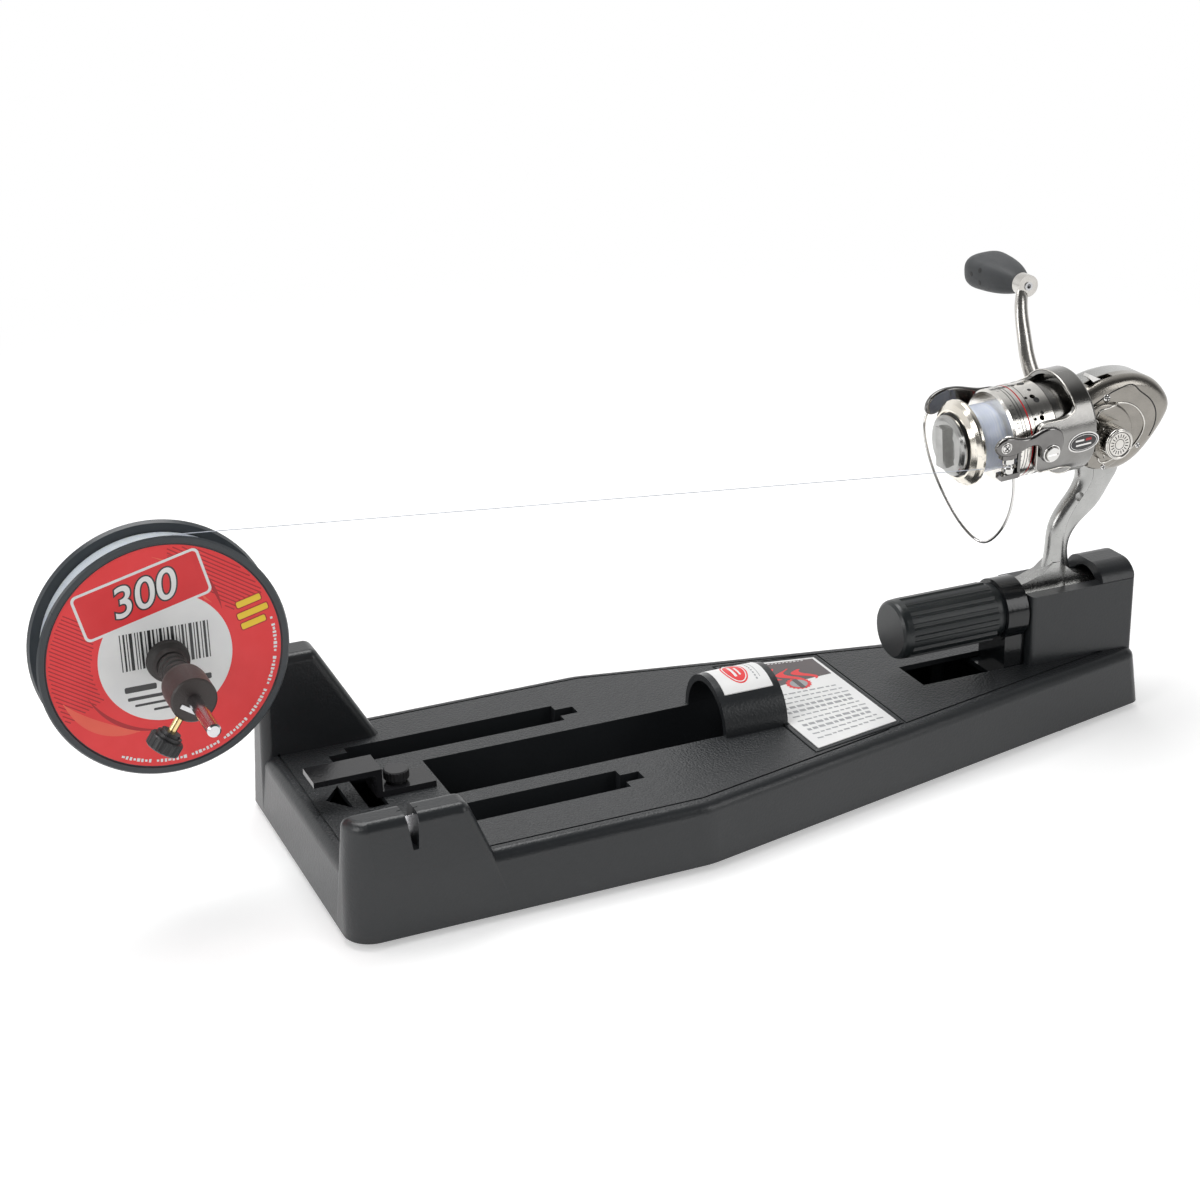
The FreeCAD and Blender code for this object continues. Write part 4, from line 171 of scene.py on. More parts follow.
def add(tree, kind, settings=None, **values):
    """A node with its settings and what its sockets get; a socket's name has _ for a space."""
    made = tree.nodes.new("ShaderNode" + kind)
    for key, value in (settings or {}).items():
        setattr(made, key, value)
    for key, value in values.items():
        feed(tree, made.inputs[key.replace("_", " ")], value)
    return made


def maths(tree, operation, *values):
    """The result of a sum on plain numbers and other nodes' outputs."""
    made = add(tree, "Math", {"operation": operation})
    for socket, value in zip(made.inputs, values):
        feed(tree, socket, value)
    return made.outputs[0]


def vector_maths(tree, operation, *values, scale=None):
    """The same for vectors; a dot product and a length give a number."""
    made = add(tree, "VectorMath", {"operation": operation})
    for socket, value in zip(made.inputs, values):
        feed(tree, socket, value)
    if scale is not None:
        feed(tree, made.inputs["Scale"], scale)
    return made.outputs["Value" if operation in ("DOT_PRODUCT", "LENGTH") else "Vector"]


def object_place(tree):
    return add(tree, "TexCoord").outputs["Object"]


def split(tree, vector):
    """A vector's three parts, by name."""
    return add(tree, "SeparateXYZ", Vector=vector).outputs


def noise(tree, scale, detail, roughness=0.5, kind="3D", **where):
    return add(tree, "TexNoise", {"noise_dimensions": kind}, Scale=scale, Detail=detail,
               Roughness=roughness, **where).outputs["Fac"]


def ramp(tree, value, low=0.0, high=1.0, first=0.0, last=1.0, kind="LINEAR"):
    """Lays a value's way from low to high over the way from first to last."""
    return add(tree, "MapRange", {"interpolation_type": kind}, Value=value, From_Min=low,
               From_Max=high, To_Min=first, To_Max=last).outputs["Result"]


def blend(tree, share, first, second):
    """A colour between two others."""
    return add(tree, "Mix", {"data_type": "RGBA"}, Factor=share, A=first, B=second).outputs["Result"]


# -------------------- shared surface effects

def new_group(name, given):
    """A node group with its named inputs' usual values; returns it and what those inputs bring."""
    group = bpy.data.node_groups.new(name, "ShaderNodeTree")
    for label, value in given.items():
        kind = {3: "Vector", 4: "Color"}[len(value)] if isinstance(value, tuple) else "Float"
        socket = group.interface.new_socket(label, in_out="INPUT", socket_type="NodeSocket" + kind)
        socket.default_value = value
    return group, group.nodes.new("NodeGroupInput").outputs


def end_group(group, **results):
    """Ends a node group with what it gives, each under its name."""
    for label in results:
        kind = "Color" if label == "Colour" else "Float"
        group.interface.new_socket(label, in_out="OUTPUT", socket_type="NodeSocket" + kind)
    ending = group.nodes.new("NodeGroupOutput")
    for label, source in results.items():
        group.links.new(source, ending.inputs[label])
    return group


def build_mould_grain():
    """Pebble texture of a moulded surface: rounded cells with finer grit over them."""
    group, given = new_group("MouldGrain", {"Cell Size": 0.0008, "Grit": 0.3})
    place = object_place(group)
    per_cell = maths(group, "DIVIDE", 1.0, given["Cell Size"])
    cells = add(group, "TexVoronoi", {"feature": "SMOOTH_F1"}, Smoothness=0.7, Vector=place,
                Scale=per_cell)
    grit = noise(group, maths(group, "MULTIPLY", per_cell, 2.6), 2.0, 0.6, Vector=place)
    rounded_cell = maths(group, "SUBTRACT", 1.0, cells.outputs["Distance"])
    grit_part = maths(group, "MULTIPLY", grit, given["Grit"])
    return end_group(group, Height=maths(group, "ADD", rounded_cell, grit_part))


def build_mottle():
    """Slow changes of colour and roughness over a surface, with a finer haze over them."""
    group, given = new_group("Mottle", {
        "Colour": (0.5, 0.5, 0.5, 1), "Patch Colour": (0.6, 0.6, 0.6, 1), "Patch Size": 0.03,
        "Roughness": 0.4, "Roughness Spread": 0.1})
    place = object_place(group)
    per_patch = maths(group, "DIVIDE", 1.0, given["Patch Size"])
    patches = noise(group, per_patch, 4.0, 0.55, Vector=place)
    haze = noise(group, maths(group, "MULTIPLY", per_patch, 9.0), 3.0, 0.6, Vector=place)
    colour = blend(group, ramp(group, patches, 0.35, 0.65), given["Colour"], given["Patch Colour"])
    both = maths(group, "ADD", maths(group, "SUBTRACT", haze, 0.5),
                 maths(group, "SUBTRACT", patches, 0.5))
    change = maths(group, "MULTIPLY", both, given["Roughness Spread"])
    return end_group(group, Colour=colour, Roughness=maths(group, "ADD", given["Roughness"], change))


def build_turned_lines():
    """Fine rings that a lathe tool leaves round an axis."""
    group, given = new_group("TurnedLines", {"Centre": (0, 0, 0), "Axis": (1, 0, 0), "Pitch": 0.0003})
    offset = vector_maths(group, "SUBTRACT", object_place(group), given["Centre"])
    along = vector_maths(group, "DOT_PRODUCT", offset, given["Axis"])
    on_axis = vector_maths(group, "SCALE", given["Axis"], scale=along)
    radius = vector_maths(group, "LENGTH", vector_maths(group, "SUBTRACT", offset, on_axis))
    rings = add(group, "CombineXYZ", X=radius, Y=along).outputs[0]
    scale = maths(group, "DIVIDE", 1.0, given["Pitch"])
    broad = maths(group, "MULTIPLY", scale, 0.12)
    return end_group(group, Height=noise(group, scale, 3.0, 0.7, "2D", Vector=rings),
                     Streak=noise(group, broad, 1.0, 0.5, "2D", Vector=rings))


def build_drawn_lines():
    """Long thin marks that run one way, as on a drawn rod or a brushed plate."""
    group, given = new_group("DrawnLines", {"Direction": (1, 0, 0), "Width": 0.0002})
    place = object_place(group)
    along = vector_maths(group, "DOT_PRODUCT", place, given["Direction"])
    most = maths(group, "MULTIPLY", along, 0.97)
    pulled = vector_maths(group, "SCALE", given["Direction"], scale=most)
    squeezed = vector_maths(group, "SUBTRACT", place, pulled)
    scale = maths(group, "DIVIDE", 1.0, given["Width"])
    broad = maths(group, "MULTIPLY", scale, 0.15)
    return end_group(group, Height=noise(group, scale, 2.0, 0.6, Vector=squeezed),
                     Streak=noise(group, broad, 1.0, Vector=squeezed))


def build_wound_turns():
    """Turns of thin line laid side by side round an axis, in slightly crossing layers."""
    group, given = new_group("WoundTurns", {"Centre": (0, 0, 0), "Axis": (1, 0, 0),
                                            "Turn Width": 0.0004, "Cross Angle": 0.03})
    place = object_place(group)
    offset = vector_maths(group, "SUBTRACT", place, given["Centre"])
    along = vector_maths(group, "DOT_PRODUCT", offset, given["Axis"])
    wander = maths(group, "SUBTRACT", noise(group, 55.0, 2.0, Vector=place), 0.5)
    shifted = maths(group, "ADD", along, maths(group, "MULTIPLY", wander, given["Cross Angle"]))
    turns = maths(group, "DIVIDE", shifted, given["Turn Width"])
    wave = maths(group, "SINE", maths(group, "MULTIPLY", turns, 2 * math.pi))
    uneven = noise(group, 0.35, 3.0, 0.5, "1D", W=turns)
    height = maths(group, "ADD", maths(group, "MULTIPLY", wave, 0.5), uneven)
    return end_group(group, Height=height, Shade=uneven)


def build_handling_marks():
    """Sparse fine scratches and dull spots, as a mask from 0 to 1."""
    group, given = new_group("HandlingMarks", {"Size": 0.02, "Amount": 0.3})
    stretched = vector_maths(group, "MULTIPLY", object_place(group), (1.0, 4.0, 9.0))
    scale = maths(group, "DIVIDE", 1.0, given["Size"])
    marks = noise(group, scale, 5.0, 0.7, Vector=stretched, Distortion=0.6)
    mask = maths(group, "MULTIPLY", ramp(group, marks, 0.6, 0.72), given["Amount"])
    return end_group(group, Mask=mask)


mould_grain = build_mould_grain()
mottle = build_mottle()
turned_lines = build_turned_lines()
drawn_lines = build_drawn_lines()
wound_turns = build_wound_turns()
handling_marks = build_handling_marks()


def effect(tree, group, **values):
    """What one of the shared effects gives in a material."""
    return add(tree, "Group", {"node_tree": group}, **values).outputs


# -------------------- kinds of finish

finish = {}


def new_finish(name, **plain):
    """A material kept in finish; returns its node tree and its shader's sockets."""
    material = bpy.data.materials.new(name)
    material.use_nodes = True
    finish[name] = material
    shader = material.node_tree.nodes["Principled BSDF"].inputs
    for key, value in plain.items():
        shader[key.replace("_", " ")].default_value = value
    return material.node_tree, shader


def mottled(tree, shader, colour, patch_colour, patch_size, roughness, spread):
    """Feeds a shader with the shared mottle, and returns the mottle's roughness."""
    made = effect(tree, mottle, Colour=(*colour, 1), Patch_Colour=(*patch_colour, 1),
                  Patch_Size=patch_size, Roughness=roughness, Roughness_Spread=spread)
    feed(tree, shader["Base Color"], made["Colour"])
    feed(tree, shader["Roughness"], made["Roughness"])
    return made["Roughness"]


def bump(tree, shader, height, strength, distance):
    """Shades a surface as if a height mask had lifted it."""
    made = add(tree, "Bump", Strength=strength, Distance=distance, Height=height)
    feed(tree, shader["Normal"], made.outputs["Normal"])


def moulded_plastic(name, colour, patch_colour, roughness, cell, depth):
    """Plastic with a pebbled or satin moulded surface."""
    tree, shader = new_finish(name, IOR=1.5)
    mottled(tree, shader, colour, patch_colour, 0.035, roughness, 0.08)
    grain = effect(tree, mould_grain, Cell_Size=cell, Grit=0.3)
    bump(tree, shader, grain["Height"], depth, cell * 0.5)


def base_plastic(name, colour, patch_colour):
    """Plastic that is pebbled on faces that look up from the plate and satin elsewhere."""
    tree, shader = new_finish(name, IOR=1.5)
    smooth_roughness = mottled(tree, shader, colour, patch_colour, 0.05, 0.31, 0.05)
    grain = effect(tree, mould_grain, Cell_Size=0.0013, Grit=0.5)
    facing = split(tree, add(tree, "NewGeometry").outputs["True Normal"])["Z"]
    height = split(tree, object_place(tree))["Z"]
    above = maths(tree, "GREATER_THAN", height, (PLATE_HEIGHT - 3) * MM)
    below = maths(tree, "LESS_THAN", height, (PLATE_HEIGHT + 0.5) * MM)
    pebbled = maths(tree, "MULTIPLY", maths(tree, "GREATER_THAN", facing, 0.97),
                    maths(tree, "MULTIPLY", above, below))
    depth = maths(tree, "MULTIPLY", grain["Height"], ramp(tree, pebbled, first=0.12, last=0.75))
    bump(tree, shader, depth, 0.9, 0.0006)
    dulled = ramp(tree, pebbled, last=0.12)
    feed(tree, shader["Roughness"], maths(tree, "ADD", smooth_roughness, dulled))


def marked_metal(name, colour, patch_colour, patch_size, roughness, streaks, depth, width, marks,
                 **values):
    """Metal with fine marks of one of the shared effects, which dull it in streaks."""
    tree, shader = new_finish(name, Metallic=1.0)
    even_roughness = mottled(tree, shader, colour, patch_colour, patch_size, roughness, 0.08)
    made = effect(tree, marks, **values)
    change = maths(tree, "MULTIPLY", maths(tree, "SUBTRACT", made["Streak"], 0.5), streaks)
    feed(tree, shader["Roughness"], maths(tree, "ADD", even_roughness, change))
    bump(tree, shader, made["Height"], depth, width * 0.3)


def turned_metal(name, colour, patch_colour, roughness, centre, axis, pitch, depth=0.25):
    """Metal turned on a lathe, with rings round its axis."""
    marked_metal(name, colour, patch_colour, 0.01, roughness, 0.18, depth, pitch, turned_lines,
                 Centre=centre, Axis=axis, Pitch=pitch)


def drawn_metal(name, colour, patch_colour, roughness, direction, width=0.0002):
    """Metal with long marks along one direction."""
    marked_metal(name, colour, patch_colour, 0.02, roughness, 0.15, 0.2, width, drawn_lines,
                 Direction=direction, Width=width)


def cast_metal(name, colour, patch_colour, roughness, grain_depth=0.12, coat=0.0):
    """Cast and polished or painted metal with a faint orange peel and a few marks."""
    tree, shader = new_finish(name, Metallic=1.0, Coat_Weight=coat, Coat_Roughness=0.08)
    even_roughness = mottled(tree, shader, colour, patch_colour, 0.012, roughness, 0.07)
    marks = effect(tree, handling_marks, Size=0.012, Amount=0.12)
    feed(tree, shader["Roughness"], maths(tree, "ADD", even_roughness, marks["Mask"]))
    grain = effect(tree, mould_grain, Cell_Size=0.0004, Grit=0.8)
    bump(tree, shader, grain["Height"], grain_depth, 0.0001)


def wound_line(name, centre, axis, turn_width, cross_angle, colour, shade_colour):
    """Clear line wound on a spool: pale, glossy and slightly see-through."""
    tree, shader = new_finish(
        name, Roughness=0.22, IOR=1.5, Coat_Weight=0.5, Coat_Roughness=0.1, Subsurface_Weight=0.25,
        Subsurface_Radius=(0.002, 0.002, 0.003), Subsurface_Scale=0.5)
    turns = effect(tree, wound_turns, Centre=centre, Axis=axis, Turn_Width=turn_width,
                   Cross_Angle=cross_angle)
    feed(tree, shader["Base Color"], blend(tree, turns["Shade"], (*shade_colour, 1), (*colour, 1)))
    bump(tree, shader, turns["Height"], 0.9, turn_width * 0.4)


def printed_film(name, colour, patch_colour, roughness=0.3, coat=0.3):
    """Printed sticker: even ink under a thin clear film, with very faint ripples."""
    tree, shader = new_finish(name, IOR=1.5, Coat_Weight=coat, Coat_Roughness=0.15)
    mottled(tree, shader, colour, patch_colour, 0.02, roughness, 0.06)
    bump(tree, shader, noise(tree, 90.0, 2.0, Vector=object_place(tree)), 0.08, 0.0005)


def soft_rubber(name, colour, patch_colour, roughness=0.6):
    """Matt rubber with fine grit."""
    tree, shader = new_finish(name, IOR=1.45)
    mottled(tree, shader, colour, patch_colour, 0.01, roughness, 0.1)
    grain = effect(tree, mould_grain, Cell_Size=0.0003, Grit=1.2)
    bump(tree, shader, grain["Height"], 0.35, 0.00012)


def strand_finish(name, colour, pale_colour):
    """The single strand: clear, thin and slightly blue."""
    tree, shader = new_finish(name, Roughness=0.15, IOR=1.5)
    sheen = noise(tree, 400.0, 1.0, Vector=object_place(tree))
    feed(tree, shader["Base Color"], blend(tree, sheen, (*colour, 1), (*pale_colour, 1)))


# -------------------- finishes

ACROSS = (0, 1, 0)
MATT = (0.42, 0.08)
supply_axis = (SUPPLY_AXLE * MM, ACROSS)
reel_axis = (reel_point(0, 0, 0), reel_back)
crank_axis = (reel_point(11.5, 0, -8.5), ACROSS)

FINISHES = {
    base_plastic: (("base", (0.0155, 0.0175, 0.0195), (0.0195, 0.0215, 0.0235)),),
    moulded_plastic: (
        ("underside", (0.030, 0.032, 0.036), (0.038, 0.040, 0.044), 0.45, 0.001, 0.3),
        ("clip_gloss", (0.012, 0.012, 0.013), (0.016, 0.016, 0.018), 0.16, 0.0012, 0.05),
        ("knob_black", (0.018, 0.018, 0.019), (0.026, 0.026, 0.028), 0.4, 0.0004, 0.2),
        ("clamp_knob", (0.009, 0.012, 0.013), (0.013, 0.016, 0.017), 0.32, 0.0006, 0.12),
        ("clamp_jaw", (0.005, 0.006, 0.007), (0.008, 0.009, 0.010), 0.14, 0.0012, 0.05),
        ("flange", (0.030, 0.036, 0.042), (0.040, 0.046, 0.052), 0.3, 0.0007, 0.1),
        ("collar", (0.028, 0.021, 0.020), (0.040, 0.031, 0.029), 0.4, 0.0006, 0.35),
        # dark seams and slots, and the painted shade in the spool skirt's holes
        ("seam_dark", (0.010, 0.010, 0.011), (0.014, 0.014, 0.015), 0.5, 0.0006, 0.1),
        ("trim_red", (0.42, 0.012, 0.018), (0.50, 0.02, 0.026), 0.25, 0.0008, 0.05)),
    drawn_metal: (
        ("plain_steel", (0.56, 0.56, 0.57), (0.64, 0.64, 0.65), 0.28, (0, 0, 1)),
        ("axle_steel", (0.60, 0.60, 0.62), (0.68, 0.68, 0.70), 0.16, ACROSS, 0.0003),
        ("blade", (0.68, 0.68, 0.70), (0.78, 0.78, 0.80), 0.22, (1, 0, 0))),
    cast_metal: (
        ("brass", (0.78, 0.57, 0.24), (0.84, 0.66, 0.34), 0.2),
        ("gear", (0.62, 0.48, 0.26), (0.70, 0.56, 0.34), 0.32),
        ("body_grey", (0.40, 0.40, 0.39), (0.46, 0.46, 0.45), 0.26, 0.1, 0.3),
        ("body_champagne", (0.27, 0.255, 0.23), (0.33, 0.31, 0.28), 0.24, 0.1, 0.3),
        ("rotor_silver", (0.24, 0.235, 0.225), (0.29, 0.285, 0.275), 0.2, 0.1, 0.3),
        ("dark_chrome", (0.17, 0.165, 0.16), (0.22, 0.215, 0.21), 0.12, 0.06, 0.2),
        ("chrome", (0.70, 0.69, 0.67), (0.76, 0.75, 0.74), 0.08, 0.04),
        ("handle_silver", (0.56, 0.54, 0.51), (0.64, 0.62, 0.59), 0.24, 0.06),
        # also the painted highlight on the rotor's edge bead
        ("panel_rib", (0.62, 0.60, 0.56), (0.70, 0.68, 0.64), 0.18, 0.06, 0.2)),
    turned_metal: (
        ("skirt", (0.78, 0.76, 0.72), (0.86, 0.84, 0.80), 0.17, *reel_axis, 0.0003),
        ("lip", (0.80, 0.75, 0.66), (0.86, 0.82, 0.74), 0.16, *reel_axis, 0.0004, 0.15),
        ("drag_knob", (0.34, 0.34, 0.33), (0.42, 0.42, 0.41), 0.14, *reel_axis, 0.0004, 0.1),
        ("cap_chrome", (0.66, 0.64, 0.60), (0.72, 0.70, 0.67), 0.14, *crank_axis, 0.0004, 0.1)),
    soft_rubber: (
        ("feet", (0.02, 0.02, 0.02), (0.03, 0.03, 0.03)),
        ("rubber_black", (0.020, 0.019, 0.018), (0.032, 0.030, 0.029), 0.5),
        ("seal", (0.012, 0.012, 0.012), (0.02, 0.02, 0.02), 0.3),
        ("felt", (0.35, 0.33, 0.30), (0.42, 0.40, 0.36), 0.9),
        ("grip", (0.035, 0.038, 0.041), (0.05, 0.053, 0.056), 0.5)),
    wound_line: (
        ("supply_line", *supply_axis, 0.0007, 0.004, (0.80, 0.84, 0.88), (0.60, 0.68, 0.76)),
        ("reel_line", *reel_axis, 0.0005, 0.006, (0.86, 0.90, 0.97), (0.56, 0.64, 0.84))),
    strand_finish: (("strand", (0.42, 0.44, 0.50), (0.66, 0.69, 0.76)),),
    printed_film: (
        ("label_white", (0.84, 0.84, 0.83), (0.80, 0.80, 0.80)),
        ("label_red", (0.84, 0.038, 0.042), (0.88, 0.05, 0.055), *MATT),
        ("ink_red", (0.74, 0.025, 0.03), (0.78, 0.035, 0.04), *MATT),
        ("ink_dark_red", (0.42, 0.014, 0.02), (0.48, 0.02, 0.028), *MATT),
        ("ink_orange", (0.88, 0.12, 0.075), (0.90, 0.14, 0.09), *MATT),
        ("ink_yellow", (0.92, 0.62, 0.03), (0.94, 0.66, 0.05), *MATT),
        ("ink_grey", (0.30, 0.31, 0.32), (0.36, 0.37, 0.38)),
        ("ink_charcoal", (0.045, 0.03, 0.032), (0.06, 0.04, 0.042)),
        ("ink_black", (0.018, 0.018, 0.02), (0.026, 0.026, 0.028))),
}

for make_finish, rows in FINISHES.items():
    for row in rows:
        make_finish(*row)

NODES_BY_FINISH = {
    "base": "base_shell", "underside": "bottom_plate", "feet": "rubber_feet",
    "plain_steel": "bottom_screws clamp_bolt near_centring_cone far_centring_cone collar_nut "
                   "stop_collar drive_bearings pinion_bearing main_shaft crosswind_block "
                   "rotor_nut handle_grip_pin",
    "axle_steel": "axle_rod", "blade": "line_cutter_blade",
    "brass": "axle_bush clip_insert locking_screw", "gear": "drive_gear pinion",
    "clip_gloss": "retaining_clip", "clamp_knob": "clamp_knob", "clamp_jaw": "clamp_jaw",
    "knob_black": "clip_thumbscrew locking_screw_knob crosswind_gear",
    "label_white": "base_label arch_label", "label_red": "near_spool_label far_spool_label",
    "flange": "near_flange far_flange spool_core", "supply_line": "wound_supply_line",
    "rubber_black": "friction_cup spring_sleeve", "collar": "locking_collar",
    "body_grey": "reel_body", "body_champagne": "body_cover rear_cap",
    "rotor_silver": "rotor", "dark_chrome": "bail_arm_near bail_arm_far",
    "chrome": "anti_reverse_lever line_roller roller_screw bail_screws bail_wire",
    "skirt": "reel_spool", "lip": "spool_lip", "reel_line": "wound_reel_line",
    "felt": "drag_washers", "seal": "drag_knob_seal", "drag_knob": "drag_knob",
    "cap_chrome": "handle_cap", "handle_silver": "handle_arm", "grip": "handle_grip",
}

for finish_name, node_names in NODES_BY_FINISH.items():
    for node_name in node_names.split():
        mesh = nodes[node_name].data
        mesh.materials.clear()
        mesh.materials.append(finish[finish_name])

line_strand.data.materials.append(finish["strand"])


# -------------------- making pieces

def add_piece(name, mesh, body, finish_name, slot, smooth=True):
    """Puts a mesh on show as a piece that moves with a body, in the named finish; its slot is not
    used.
    """
    mesh.polygons.foreach_set("use_smooth", [smooth] * len(mesh.polygons))
    mesh.materials.append(finish[finish_name])
    piece = put_in_scene(name, mesh)
    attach(piece, body)


def mesh_of(name, corners, faces):
    mesh = bpy.data.meshes.new(name)
    mesh.from_pydata([tuple(corner) for corner in corners], [], faces)
    mesh.update()
    return mesh


# -------------------- flat shapes for prints

def round_about(radius, angle):
    """The flat point at a distance from the origin and an angle in degrees."""
    return radius * math.cos(math.radians(angle)), radius * math.sin(math.radians(angle))


def turned_by(points, angle, x=0.0, y=0.0):
    """Flat points turned about the origin and then moved."""
    turn_x, turn_y = round_about(1, angle)
    return [(x + a * turn_x - b * turn_y, y + a * turn_y + b * turn_x) for a, b in points]


def bar(x, y, width, height, angle=0.0):
    half, tall = width / 2, height / 2
    return turned_by([(-half, -tall), (half, -tall), (half, tall), (-half, tall)], angle, x, y)


def oval(x, y, across, high, steps=48):
    turns = [2 * math.pi * step / steps for step in range(steps)]
    return [(x + across * math.cos(turn), y + high * math.sin(turn)) for turn in turns]


def soft_bar(x, y, width, height, radius, angle=0.0, steps=6):
    """A rectangle with round corners."""
    points = []
    for corner, (sign_x, sign_y) in enumerate(((1, 1), (-1, 1), (-1, -1), (1, -1))):
        for step in range(steps + 1):
            x_part, y_part = round_about(radius, 90 * corner + 90 * step / steps)
            points.append((sign_x * (width / 2 - radius) + x_part,
                           sign_y * (height / 2 - radius) + y_part))
    return turned_by(points, angle, x, y)


def band(inner, outer, start, end, steps=40):
    """Part of a ring between two radii and two angles."""
    angles = [start + (end - start) * step / steps for step in range(steps + 1)]
    return ([round_about(outer, angle) for angle in angles]
            + [round_about(inner, angle) for angle in reversed(angles)])


def striped(angle, spacing, width, start, end, inner, outer):
    """Parallel bars kept between two radii and two angles about the middle."""
    ahead = round_about(1, angle)
    bars = []
    for number in range(-int(outer / spacing), int(outer / spacing) + 1):
        run = []
        for step in range(-int(outer), int(outer) + 2):
            x = ahead[0] * step - ahead[1] * number * spacing
            y = ahead[1] * step + ahead[0] * number * spacing
            heading = math.degrees(math.atan2(y, x)) % 360
            if inner < math.hypot(x, y) < outer and start < heading < end:
                run.append((x, y))
                continue
            if len(run) > 2:
                middle = [(run[0][axis] + run[-1][axis]) / 2 for axis in (0, 1)]
                bars.append(bar(*middle, len(run) - 1, width, angle))
            run = []
    return bars


# -------------------- printing

INK_STEP = 0.00003


def ink(name, body, shapes, place, finish_name, slot, slice_step=None):
    """Thin ink shapes laid on a surface; place turns a flat point into a spot on it. On a bent
    surface the shapes are first cut into slices of one height."""
    build = bmesh.new()
    for shape in shapes:
        build.faces.new([build.verts.new((x, y, 0)) for x, y in shape])
    bmesh.ops.recalc_face_normals(build, faces=build.faces)
    for face in build.faces:
        if face.normal.z < 0:
            face.normal_flip()
    bmesh.ops.triangulate(build, faces=build.faces)
    if slice_step:
        heights = [vert.co.y for vert in build.verts]
        low, high = min(heights), max(heights)
        for number in range(1, int((high - low) / slice_step) + 1):
            everything = build.verts[:] + build.edges[:] + build.faces[:]
            bmesh.ops.bisect_plane(build, geom=everything, plane_no=(0, 1, 0),
                                   plane_co=(0, low + number * slice_step, 0))
    for vert in build.verts:
        vert.co = place(vert.co.x, vert.co.y)
    mesh = bpy.data.meshes.new(name)
    build.to_mesh(mesh)
    build.free()
    add_piece(name, mesh, body, finish_name, slot, smooth=False)


def print_layers(prefix, body, slot, place, layers, slice_step=None):
    """Ink in layers: each has its part's name, its layer's number, its finish and its shapes."""
    for part, number, finish_name, shapes in layers:
        ink(f"{prefix}_{part}", body, shapes, lambda x, y: place(x, y, number), finish_name, slot,
            slice_step)


def printed_text(name, body, text, size, place, right, up, finish_name, thicken):
    """Leaning numerals laid flat on a label."""
    curve = bpy.data.curves.new(name, "FONT")
    curve.body = text
    curve.size = size * MM
    curve.align_x = "CENTER"
    curve.align_y = "CENTER"
    curve.shear = 0.25
    curve.offset = thicken * MM
    curve.materials.append(finish[finish_name])
    piece = put_in_scene(name, curve)
    turn = Matrix((right, up, right.cross(up))).transposed()
    piece.matrix_world = Matrix.Translation(place) @ turn.to_4x4()
    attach(piece, body)


# -------------------- supply spool's labels

LABEL_MIDDLE = 31.5
LABEL_RIM = 54
INNERMOST_SWING = 33
BLUNT_END = 0.02
NUMERALS = "300"
NUMERAL_HEIGHT = 21
NUMERALS_MIDDLE = (-8, 32.2)
LABEL_SLANT = 14
BANNER_MIDDLE = (-8, 32.5)
STRIPE_ANGLE = -33
BAR_WIDTHS = (0.5, 0.9, 0.5, 1.5, 0.5, 0.5, 1.1, 0.5, 1.5, 0.9, 0.5, 1.3, 0.5, 0.9, 1.5, 0.5, 0.5,
              1.1, 0.5, 1.5, 0.5, 0.9, 0.5, 1.2, 0.5)
BARS_LEFT = -20.5
BARS_MIDDLE = 5.5
BAR_HEIGHT = 18.5
TICK_COUNT = 64
TICK_RADIUS = 52.2
FIRST_TICK = -118
TICK_TURN = 2.05
SMALL_LINES = ((-13, -13.2, 15, 3, 0.8), (12.5, -13.2, 16, 3, 0.8), (-11, -18, 17, 1.7, 0.6),
               (12, -18, 14, 1.7, 0.6), (-9, -21.6, 15, 1.2, 0.5), (9.5, -21.6, 13, 1.2, 0.5),
               (0, -25, 16, 1.2, 0.5))
DASH_HEIGHT = 3.1
SIDE_DASHES = ((41, 20.5, 12), (42.6, 15, 15), (42.6, 9.5, 12))


def swoosh(first, start, end, last, width, steps=30):
    """A curved stroke that swings from one radius to another and tapers at both ends."""
    outside, inside = [], []
    for step in range(steps + 1):
        share = step / steps
        angle = start + (end - start) * share
        radius = max(first + (last - first) * share, INNERMOST_SWING)
        half = width / 2 * math.sin(math.pi * min(max(share, BLUNT_END), 1 - BLUNT_END))
        outside.append(round_about(radius + half, angle))
        inside.append(round_about(radius - half, angle))
    return outside + inside[::-1]


def upright_bars():
    """Thin and thick upright bars side by side."""
    bars = []
    left = BARS_LEFT
    for number, width in enumerate(BAR_WIDTHS):
        bars.append(bar(left + width / 2, BARS_MIDDLE, width, BAR_HEIGHT))
        left += width + (0.75 if number % 3 else 1.1)
    return bars


def rim_ticks():
    """Short marks in groups along the label's lower rim."""
    ticks = []
    for number in range(TICK_COUNT):
        if number % 9 == 8:
            continue
        angle = FIRST_TICK + number * TICK_TURN
        ticks.append(bar(*round_about(TICK_RADIUS, angle), 1.1 if number % 4 else 1.5,
                         1.7 if number % 3 else 1.1, angle + 90))
    return ticks


def side_dashes(grow, radius):
    return [soft_bar(x, y, width + grow, DASH_HEIGHT + grow, radius, LABEL_SLANT)
            for x, y, width in SIDE_DASHES]


